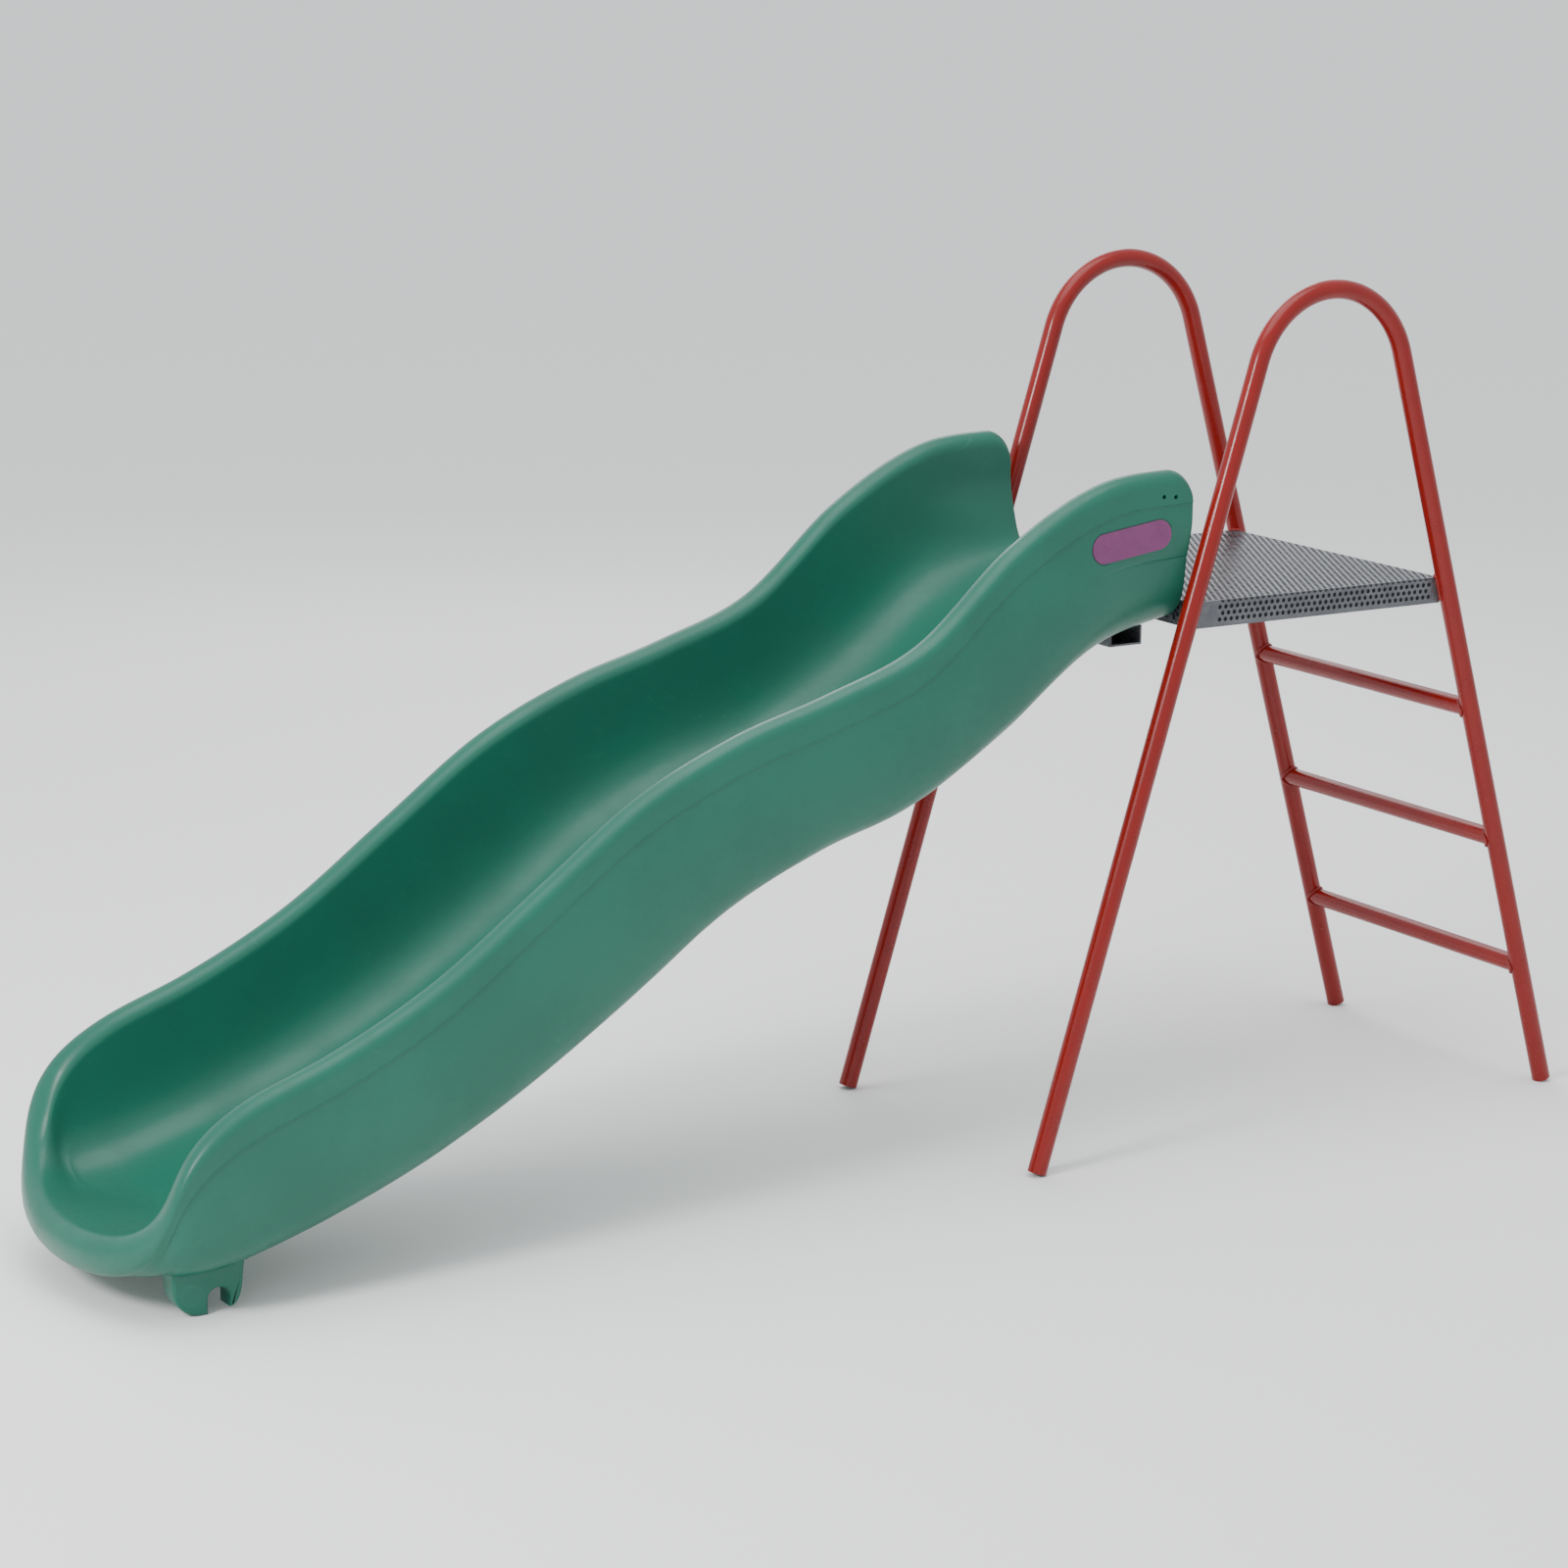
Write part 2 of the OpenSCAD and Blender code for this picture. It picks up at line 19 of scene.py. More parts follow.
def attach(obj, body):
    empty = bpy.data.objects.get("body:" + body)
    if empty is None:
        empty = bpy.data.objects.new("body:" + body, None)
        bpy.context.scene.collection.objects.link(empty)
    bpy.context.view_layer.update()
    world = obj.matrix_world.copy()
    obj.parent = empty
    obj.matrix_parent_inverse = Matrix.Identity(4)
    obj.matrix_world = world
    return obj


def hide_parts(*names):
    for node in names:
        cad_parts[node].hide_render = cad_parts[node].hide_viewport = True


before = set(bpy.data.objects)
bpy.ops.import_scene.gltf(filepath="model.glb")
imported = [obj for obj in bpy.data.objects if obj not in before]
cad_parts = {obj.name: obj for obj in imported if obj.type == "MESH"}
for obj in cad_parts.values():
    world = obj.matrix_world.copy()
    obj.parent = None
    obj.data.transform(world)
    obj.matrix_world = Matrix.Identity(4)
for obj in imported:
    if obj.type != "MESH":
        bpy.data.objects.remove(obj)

logging.basicConfig(level=logging.INFO, format="%(name)s: %(message)s")
log = logging.getLogger("wave_slide")

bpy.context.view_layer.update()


class Side(Enum):
    """A side of the slide, by the sign of Y."""

    NEAR = -1
    FAR = 1


class End(Enum):
    """An end of the ladder frame, by the sign of X from its middle."""

    SLIDE = -1
    LADDER = 1


# ---------- surfaces as arrays ----------


@dataclass
class Surface:
    """Points and faces of one closed piece, gathered from several patches."""

    points: list[np.ndarray] = field(default_factory=list)
    quads: list[np.ndarray] = field(default_factory=list)
    triangles: list[np.ndarray] = field(default_factory=list)
    count: int = 0

    def add(
        self, points: np.ndarray, quads: np.ndarray | None = None, triangles: np.ndarray | None = None
    ) -> int:
        """Add a patch whose faces count its own points from zero.

        Args:
            points: array (n, 3) of places.
            quads: array (m, 4) of point numbers, or None.
            triangles: array (m, 3) of point numbers, or None.

        Returns:
            The number of the patch's first point in the whole surface.
        """
        first = self.count
        self.points.append(points.reshape(-1, 3))
        if quads is not None and len(quads):
            self.quads.append(quads + first)
        if triangles is not None and len(triangles):
            self.triangles.append(triangles + first)
        self.count += len(self.points[-1])
        return first

    def mesh(self, name: str, sharp_deg: float = 35.0) -> bpy.types.Mesh:
        """Make a Blender mesh of the surface, smooth except at sharp edges.

        Args:
            name: the mesh's name.
            sharp_deg: edges that turn more than this stay sharp.

        Returns:
            The new mesh.
        """
        quads = np.concatenate(self.quads) if self.quads else np.zeros((0, 4), int)
        triangles = np.concatenate(self.triangles) if self.triangles else np.zeros((0, 3), int)
        loops = np.concatenate([quads.ravel(), triangles.ravel()]).astype(np.int32)
        starts = np.concatenate([np.arange(len(quads)) * 4, quads.size + np.arange(len(triangles)) * 3])
        data = bpy.data.meshes.new(name)
        data.vertices.add(self.count)
        data.vertices.foreach_set("co", np.concatenate(self.points).astype(np.float32).ravel())
        data.loops.add(len(loops))
        data.loops.foreach_set("vertex_index", loops)
        data.polygons.add(len(starts))
        data.polygons.foreach_set("loop_start", starts.astype(np.int32))
        data.polygons.foreach_set("use_smooth", np.ones(len(starts), bool))
        data.update(calc_edges=True)
        data.validate()
        data.set_sharp_from_angle(angle=math.radians(sharp_deg))
        return data


def grid_quads(
    rows: int, columns: int, closed_rows: bool = False, closed_columns: bool = False
) -> np.ndarray:
    """Faces of a grid whose point (r, c) has the number r * columns + c.

    Args:
        rows: number of rows of points.
        columns: number of points in a row.
        closed_rows: join the last row to the first.
        closed_columns: join the end of each row to its start.

    Returns:
        Array (m, 4); a face turns from its row towards the next row.
    """
    r = np.arange(rows if closed_rows else rows - 1)[:, None]
    c = np.arange(columns if closed_columns else columns - 1)[None, :]
    up, right = (r + 1) % rows, (c + 1) % columns
    corners = [r * columns + c, r * columns + right, up * columns + right, up * columns + c]
    return np.stack(np.broadcast_arrays(*corners), -1).reshape(-1, 4)


def smooth_curve(values: np.ndarray | tuple, u: np.ndarray) -> np.ndarray:
    """A smooth curve through a list, at places u counted from 0 to the last index.

    Each span is the cubic through its two values whose slopes are half the difference of their
    neighbours; beyond the ends the list goes on straight.

    Args:
        values: n values to pass through, or n rows of k values.
        u: array of places.

    Returns:
        The curve's values at u.
    """
    v = np.asarray(values, float)
    v = np.concatenate([[2 * v[0] - v[1]], v, [2 * v[-1] - v[-2]]])
    u = np.asarray(u, float)
    i = np.clip(np.floor(u).astype(int), 0, len(v) - 4)
    t = (u - i).reshape(u.shape + (1,) * (v.ndim - 1))
    a, b, c, d = v[i], v[i + 1], v[i + 2], v[i + 3]
    return (2 * b + (c - a) * t + (2 * a - 5 * b + 4 * c - d) * t**2 + (3 * b - a - 3 * c + d) * t**3) / 2


def soft_step(x: np.ndarray) -> np.ndarray:
    """Rises smoothly from 0 at x = 0 to 1 at x = 1."""
    t = np.clip(x, 0.0, 1.0)
    return t * t * (3 - 2 * t)


def sweep(
    path: np.ndarray, across: np.ndarray, upward: np.ndarray, radius: np.ndarray, sides: int
) -> np.ndarray:
    """A round section carried along a path: point = path + radius * (cos a * across + sin a * upward).

    Args:
        path: array (n, 3), the section's centres.
        across: array (n, 3), the section's first direction at each centre.
        upward: array (n, 3), its second direction.
        radius: array (n,) or (n, sides) of radii.
        sides: number of points round the section.

    Returns:
        Array (n, sides, 3).
    """
    angle = np.linspace(0, 2 * np.pi, sides, endpoint=False)
    r = np.broadcast_to(np.asarray(radius, float).reshape(len(path), -1), (len(path), sides))[..., None]
    return (
        path[:, None]
        + r * np.cos(angle)[None, :, None] * across[:, None]
        + r * np.sin(angle)[None, :, None] * upward[:, None]
    )


def turned(profile: np.ndarray, sides: int) -> np.ndarray:
    """A profile turned round Z: point = (r cos a, r sin a, z).

    Args:
        profile: array (n, 2) of radius and height.
        sides: number of points round the axis.

    Returns:
        Array (n, sides, 3).
    """
    angle = np.linspace(0, 2 * np.pi, sides, endpoint=False)
    r, z = profile[:, :1], profile[:, 1:]
    return np.stack([r * np.cos(angle), r * np.sin(angle), z + 0 * angle], -1)


def cubic(a: np.ndarray, b: np.ndarray, c: np.ndarray, d: np.ndarray, t: np.ndarray) -> np.ndarray:
    """Cubic curves that leave a towards b and arrive at d from c.

    Args:
        a, b, c, d: arrays (n, 2) of ends and handles, one row for each curve.
        t: array (k,) of places along every curve, from 0 to 1.

    Returns:
        Array (n, k, 2).
    """
    s, t = (1 - t)[None, :, None], t[None, :, None]
    a, b, c, d = a[:, None], b[:, None], c[:, None], d[:, None]
    return a * s**3 + 3 * b * s * s * t + 3 * c * s * t * t + d * t**3


def left_normals(curves: np.ndarray) -> np.ndarray:
    """Unit normals to the left of flat curves, as an array (n, m, 2) like theirs."""
    turn = np.gradient(curves, axis=1)
    turn /= np.maximum(np.linalg.norm(turn, axis=-1, keepdims=True), 1e-9)
    return np.stack([-turn[..., 1], turn[..., 0]], -1)


def end_caps(sides: int, rings: int) -> np.ndarray:
    """Fans of triangles that close the first and the last of several rings of points."""
    c = np.arange(1, sides - 1)
    return np.concatenate([
        np.stack([0 * c, c + 1, c], -1), np.stack([0 * c, c, c + 1], -1) + sides * (rings - 1)
    ])


def loop_edges(loops: np.ndarray) -> np.ndarray:
    """Edges round closed loops of point numbers: array (n, m) in, (n * m, 2) out."""
    return np.stack([loops, np.roll(loops, -1, -1)], -1).reshape(-1, 2)


def put(
    name: str, data: bpy.types.Mesh, finish: bpy.types.Material, slot: str, *nodes: str
) -> bpy.types.Object:
    """Put a mesh in the scene as a piece on the root body.

    Args:
        name: the piece's name.
        data: its mesh, in place.
        finish: its material.
        slot: the record's material slot; not used.
        nodes: the CAD nodes that it stands for.

    Returns:
        The new object.
    """
    piece = bpy.data.objects.new(name, data)
    bpy.context.scene.collection.objects.link(piece)
    data.materials.clear()
    data.materials.append(finish)
    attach(piece, "root")
    if nodes:
        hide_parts(*nodes)
    log.info("%s: %d faces", name, len(data.polygons))
    return piece


def cut_away(data: bpy.types.Mesh, cutter: bpy.types.Mesh) -> bpy.types.Mesh:
    """Subtract one closed mesh from another.

    Args:
        data: the mesh to cut.
        cutter: the closed mesh to take away.

    Returns:
        The cut mesh.
    """
    body = bpy.data.objects.new("cut_body", data)
    tool = bpy.data.objects.new("cut_tool", cutter)
    for o in (body, tool):
        bpy.context.scene.collection.objects.link(o)
    cut = body.modifiers.new("cut", "BOOLEAN")
    cut.operation, cut.solver, cut.object = "DIFFERENCE", "EXACT", tool
    result = bpy.data.meshes.new_from_object(body.evaluated_get(bpy.context.evaluated_depsgraph_get()))
    for o in (body, tool):
        bpy.data.objects.remove(o)
    result.name = data.name + "_cut"
    return result


# ---------- finishes ----------


class Nodes:
    """A node tree with short ways to add nodes and join them."""

    def __init__(self, tree: bpy.types.NodeTree) -> None:
        """Keep the tree."""
        self.tree = tree

    def add(self, kind: str, inputs: dict | None = None, **settings) -> bpy.types.Node:
        """Add a node.

        Args:
            kind: the node's type, without the ShaderNode in front.
            inputs: value or linked socket for each input, by name or number.
            settings: properties to set on the node.

        Returns:
            The new node.
        """
        node = self.tree.nodes.new(("ShaderNode" if not kind.startswith("NodeGroup") else "") + kind)
        for key, value in settings.items():
            setattr(node, key, value)
        for key, value in (inputs or {}).items():
            if isinstance(value, bpy.types.NodeSocket):
                self.tree.links.new(value, node.inputs[key])
            else:
                node.inputs[key].default_value = value
        return node

    def noise(
        self, where: bpy.types.NodeSocket, scale: bpy.types.NodeSocket | float,
        detail: float = 3.0, rough: float = 0.5,
    ) -> bpy.types.NodeSocket:
        """Add cloudy noise.

        Args:
            where: the place that it depends on.
            scale: how many features to a metre.
            detail: how many finer layers it has.
            rough: how strong the finer layers are.

        Returns:
            The socket of its value.
        """
        node = self.add("TexNoise", {"Vector": where, "Scale": scale, "Detail": detail, "Roughness": rough})
        return node.outputs[0]

    def remap(
        self, value: bpy.types.NodeSocket, low: float, high: float, to_low: float, to_high: float
    ) -> bpy.types.NodeSocket:
        """Stretch a value smoothly from one range to another, held at its ends.

        Args:
            value: the value to stretch.
            low: the start of its own range.
            high: the end of its own range.
            to_low: what the start becomes.
            to_high: what the end becomes.

        Returns:
            The socket of the stretched value.
        """
        return self.add(
            "MapRange", {0: value, 1: low, 2: high, 3: to_low, 4: to_high}, interpolation_type="SMOOTHSTEP"
        ).outputs[0]

    def sum(
        self, a: bpy.types.NodeSocket | float, b: bpy.types.NodeSocket | float, how: str = "ADD"
    ) -> bpy.types.NodeSocket:
        """Combine two numbers.

        Args:
            a: the first number.
            b: the second number.
            how: ADD, MULTIPLY or another sum that the Math node knows.

        Returns:
            The socket of the result.
        """
        return self.add("Math", {0: a, 1: b}, operation=how).outputs[0]

    def mix(
        self, share: bpy.types.NodeSocket | float,
        a: bpy.types.NodeSocket | tuple, b: bpy.types.NodeSocket | tuple,
    ) -> bpy.types.NodeSocket:
        """Mix two colours.

        Args:
            share: how much of the second colour there is, from 0 to 1.
            a: the first colour.
            b: the second colour.

        Returns:
            The socket of the mixed colour.
        """
        node = self.add("Mix", data_type="RGBA")
        for socket, value in ((node.inputs[0], share), (node.inputs[6], a), (node.inputs[7], b)):
            if isinstance(value, bpy.types.NodeSocket):
                self.tree.links.new(value, socket)
            else:
                socket.default_value = value if isinstance(value, float) else (*value, 1.0)[:4]
        return node.outputs[2]


def new_group(
    name: str, inputs: dict[str, tuple[str, float | tuple]], outputs: dict[str, str]
) -> tuple[Nodes, dict, dict]:
    """Start a shader node group.

    Args:
        name: the group's name.
        inputs: kind (Float, Color or Vector) and value of each input.
        outputs: kind of each output.

    Returns:
        The group's nodes, its input sockets by name and its output sockets by name.
    """
    tree = bpy.data.node_groups.new(name, "ShaderNodeTree")
    for label, (kind, value) in inputs.items():
        socket = tree.interface.new_socket(label, in_out="INPUT", socket_type="NodeSocket" + kind)
        socket.default_value = value
    for label, kind in outputs.items():
        tree.interface.new_socket(label, in_out="OUTPUT", socket_type="NodeSocket" + kind)
    nodes = Nodes(tree)
    start, end = nodes.add("NodeGroupInput"), nodes.add("NodeGroupOutput")
    return nodes, {k: start.outputs[k] for k in inputs}, {k: end.inputs[k] for k in outputs}


class Effects:
    """The surface effects that several finishes share, each built once as a node group."""

    def __init__(self) -> None:
        """Build the groups."""
        self.clouds = self._clouds()
        self.scuffs = self._scuffs()
        self.orange_peel = self._orange_peel()

    @staticmethod
    def _clouds() -> bpy.types.NodeTree:
        """Soft patches of a second colour over a first, from two sizes of noise."""
        n, i, o = new_group(
            "Soft patches",
            {"Colour": ("Color", (0.5, 0.5, 0.5, 1)), "Patch colour": ("Color", (0.4, 0.4, 0.4, 1)),
             "Size": ("Float", 6.0), "Strength": ("Float", 0.5)},
            {"Colour": "Color", "Mask": "Float"},
        )
        where = n.add("TexCoord").outputs["Object"]
        wide, fine = n.noise(where, i["Size"], 4.0, 0.55), n.noise(where, 90.0, 2.0)
        both = n.sum(n.sum(wide, 0.8, "MULTIPLY"), n.sum(fine, 0.2, "MULTIPLY"))
        mask = n.remap(both, 0.38, 0.64, 0.0, 1.0)
        share = n.sum(mask, i["Strength"], "MULTIPLY")
        n.tree.links.new(n.mix(share, i["Colour"], i["Patch colour"]), o["Colour"])
        n.tree.links.new(mask, o["Mask"])
        return n.tree

    @staticmethod
    def _scuffs() -> bpy.types.NodeTree:
        """Thin light rub marks: stretched noise cut to narrow streaks, thinned out by wide noise."""
        n, i, o = new_group(
            "Scuff marks",
            {"Along": ("Vector", (3.0, 40.0, 40.0)), "Amount": ("Float", 0.5)},
            {"Mask": "Float"},
        )
        where = n.add("TexCoord").outputs["Object"]
        drift = n.add("TexNoise", {"Vector": where, "Scale": 3.0}).outputs[1]
        bent = n.add("VectorMath", {0: where, 1: drift}, operation="ADD")
        long = n.add("VectorMath", {0: bent.outputs[0], 1: i["Along"]}, operation="MULTIPLY").outputs[0]
        streak = n.remap(n.noise(long, 1.0, 5.0, 0.65), 0.60, 0.72, 0.0, 1.0)
        where_worn = n.remap(n.noise(where, 4.0, 3.0), 0.45, 0.65, 0.0, 1.0)
        n.tree.links.new(n.sum(n.sum(streak, where_worn, "MULTIPLY"), i["Amount"], "MULTIPLY"), o["Mask"])
        return n.tree

    @staticmethod
    def _orange_peel() -> bpy.types.NodeTree:
        """The fine waviness of a moulded or sprayed surface, as a bumped normal."""
        n, i, o = new_group(
            "Orange peel",
            {"Scale": ("Float", 300.0), "Depth": ("Float", 0.0001), "Waves": ("Float", 0.0003)},
            {"Normal": "Vector"},
        )
        where = n.add("TexCoord").outputs["Object"]
        fine, wave = n.noise(where, i["Scale"], 2.0), n.noise(where, 14.0, 2.0)
        height = n.sum(n.sum(fine, i["Depth"], "MULTIPLY"), n.sum(wave, i["Waves"], "MULTIPLY"))
        bump = n.add("Bump", {"Height": height, "Strength": 1.0, "Distance": 1.0})
        n.tree.links.new(bump.outputs[0], o["Normal"])
        return n.tree


@dataclass(frozen=True)
class Finish:
    """A finish with soft patches, scuffs and a fine waviness over one shader."""

    name: str
    colour: tuple[float, float, float]
    patch: tuple[float, float, float]
    scuff: tuple[float, float, float]
    rough: tuple[float, float]
    metallic: float = 0.0
    coat: float = 0.0
    patch_size: float = 6.0
    patch_strength: float = 0.6
    scuff_along: tuple[float, float, float] = (3.0, 40.0, 40.0)
    scuff_amount: float = 0.3
    peel_scale: float = 300.0
    peel_depth: float = 0.0001
    waves: float = 0.0004
    specular: float = 0.5
    coat_rough: float = 0.08
    scuff_rough: float = 0.25

    def material(self, effects: Effects) -> bpy.types.Material:
        """Build the finish's material.

        Args:
            effects: the shared node groups.

        Returns:
            The material.
        """
        made = bpy.data.materials.new(self.name)
        made.use_nodes = True
        n = Nodes(made.node_tree)
        shader = made.node_tree.nodes["Principled BSDF"]
        clouds = n.add("Group", {
            "Colour": (*self.colour, 1), "Patch colour": (*self.patch, 1),
            "Size": self.patch_size, "Strength": self.patch_strength,
        }, node_tree=effects.clouds)
        scuffs = n.add("Group", {
            "Along": self.scuff_along, "Amount": self.scuff_amount,
        }, node_tree=effects.scuffs)
        peel = n.add("Group", {
            "Scale": self.peel_scale, "Depth": self.peel_depth, "Waves": self.waves,
        }, node_tree=effects.orange_peel)
        colour = n.mix(scuffs.outputs["Mask"], clouds.outputs["Colour"], self.scuff)
        rough = n.remap(clouds.outputs["Mask"], 0.0, 1.0, self.rough[0], self.rough[1])
        rough = n.sum(rough, n.sum(scuffs.outputs["Mask"], self.scuff_rough, "MULTIPLY"))
        n.tree.links.new(colour, shader.inputs["Base Color"])
        n.tree.links.new(rough, shader.inputs["Roughness"])
        n.tree.links.new(peel.outputs["Normal"], shader.inputs["Normal"])
        shader.inputs["Metallic"].default_value = self.metallic
        shader.inputs["Coat Weight"].default_value = self.coat
        shader.inputs["Coat Roughness"].default_value = self.coat_rough
        shader.inputs["Specular IOR Level"].default_value = self.specular
        return made


GREEN = Finish(
    "slide_green", (0.0080, 0.112, 0.072), (0.0064, 0.093, 0.060), (0.05, 0.20, 0.14), (0.33, 0.42),
    patch_size=5.0, patch_strength=0.6, scuff_amount=0.22, peel_scale=700.0, peel_depth=0.00006, waves=0.0006,
    specular=0.36,
)
RED = Finish(
    "frame_red", (0.205, 0.0060, 0.0042), (0.165, 0.0050, 0.0038), (0.33, 0.035, 0.024), (0.20, 0.28),
    coat=0.08, patch_size=16.0, patch_strength=0.45, scuff_along=(60.0, 60.0, 9.0), scuff_amount=0.10,
    peel_scale=420.0, peel_depth=0.00007, waves=0.00012, specular=0.32,
)
GRAPHITE = Finish(
    "deck_graphite", (0.095, 0.100, 0.112), (0.150, 0.156, 0.170), (0.32, 0.33, 0.35), (0.24, 0.40),
    metallic=0.6, coat=0.25, patch_size=28.0, scuff_along=(20.0, 90.0, 90.0), scuff_amount=0.4,
    peel_scale=380.0, peel_depth=0.0003, waves=0.0008,
)
PURPLE = Finish(
    "plate_purple", (0.155, 0.027, 0.115), (0.132, 0.022, 0.097), (0.28, 0.11, 0.23), (0.42, 0.52),
    patch_size=20.0, scuff_amount=0.2, peel_scale=900.0, peel_depth=0.00005, waves=0.0003,
)
ZINC = Finish(
    "zinc_plate", (0.52, 0.53, 0.54), (0.36, 0.37, 0.38), (0.70, 0.70, 0.70), (0.26, 0.42),
    metallic=1.0, patch_size=60.0, scuff_along=(90.0, 90.0, 200.0), peel_scale=900.0, peel_depth=0.00004,
)
# Painted shade: a near-black finish for the sheet behind the deck's perforation, standing in for the shade
# inside the holes.
HOLE_SHADE = Finish(
    "liner_painted_shade", (0.006, 0.007, 0.008), (0.011, 0.012, 0.013), (0.03, 0.03, 0.03), (0.60, 0.75),
    patch_size=30.0, scuff_amount=0.15, peel_scale=300.0, peel_depth=0.0002, waves=0.0004,
)
BRASS = Finish(
    "insert_brass", (0.60, 0.42, 0.16), (0.42, 0.28, 0.10), (0.75, 0.60, 0.32), (0.24, 0.40),
    metallic=1.0, patch_size=70.0, scuff_along=(90.0, 90.0, 300.0), peel_scale=900.0, peel_depth=0.00004,
)


# ---------- sizes that several sub-assemblies share ----------


@dataclass(frozen=True)
class Plan:
    """The slide's main sizes. X is counted here from the middle of the ladder frame."""

    tube_r: float = 0.019
    tube_wall: float = 0.0025
    foot_x: float = 0.650
    hoop_y: float = 0.335
    hoop_h: float = 1.702
    bend_r: float = 0.185
    deck_z: float = 1.095
    deck_len: float = 0.620
    deck_w: float = 0.660
    end_gap: float = 0.008
    slide_run: float = 2.012
    lip_reach: float = 0.177
    lip_r: float = 0.038

    @property
    def bend_z(self) -> float:
        """Height of the hoops' bend centre."""
        return self.hoop_h - self.tube_r - self.bend_r

    @property
    def lean(self) -> float:
        """Angle of the legs from upright, from the tangent that runs from foot to bend."""
        slant = math.hypot(self.foot_x, self.bend_z)
        return math.atan2(self.foot_x, self.bend_z) - math.asin(self.bend_r / slant)

    @property
    def leg_len(self) -> float:
        """Length of a leg's axis from the ground to the bend."""
        return math.sqrt(self.foot_x**2 + self.bend_z**2 - self.bend_r**2)

    @property
    def back_x(self) -> float:
        """Where the chute's back end stands."""
        return -self.deck_len / 2 - self.end_gap

    @property
    def turn_x(self) -> float:
        """Where the exit scoop's turn is centred."""
        return self.back_x - self.slide_run

    @property
    def shift_x(self) -> float:
        """What is added to X to put the overall box on the origin."""
        nose = self.turn_x - self.lip_reach - self.lip_r
        return -(nose + self.foot_x + self.tube_r * math.cos(self.lean)) / 2

    def leg_x(self, z: float) -> float:
        """Distance of a leg's axis from the frame's middle at a height."""
        return self.foot_x - z * math.tan(self.lean)

    def settle(self, points: np.ndarray) -> np.ndarray:
        """Move points from the ladder frame's middle to the shared frame."""
        return points + np.array([self.shift_x, 0.0, 0.0])


PLAN = Plan()


# ---------- the chute ----------


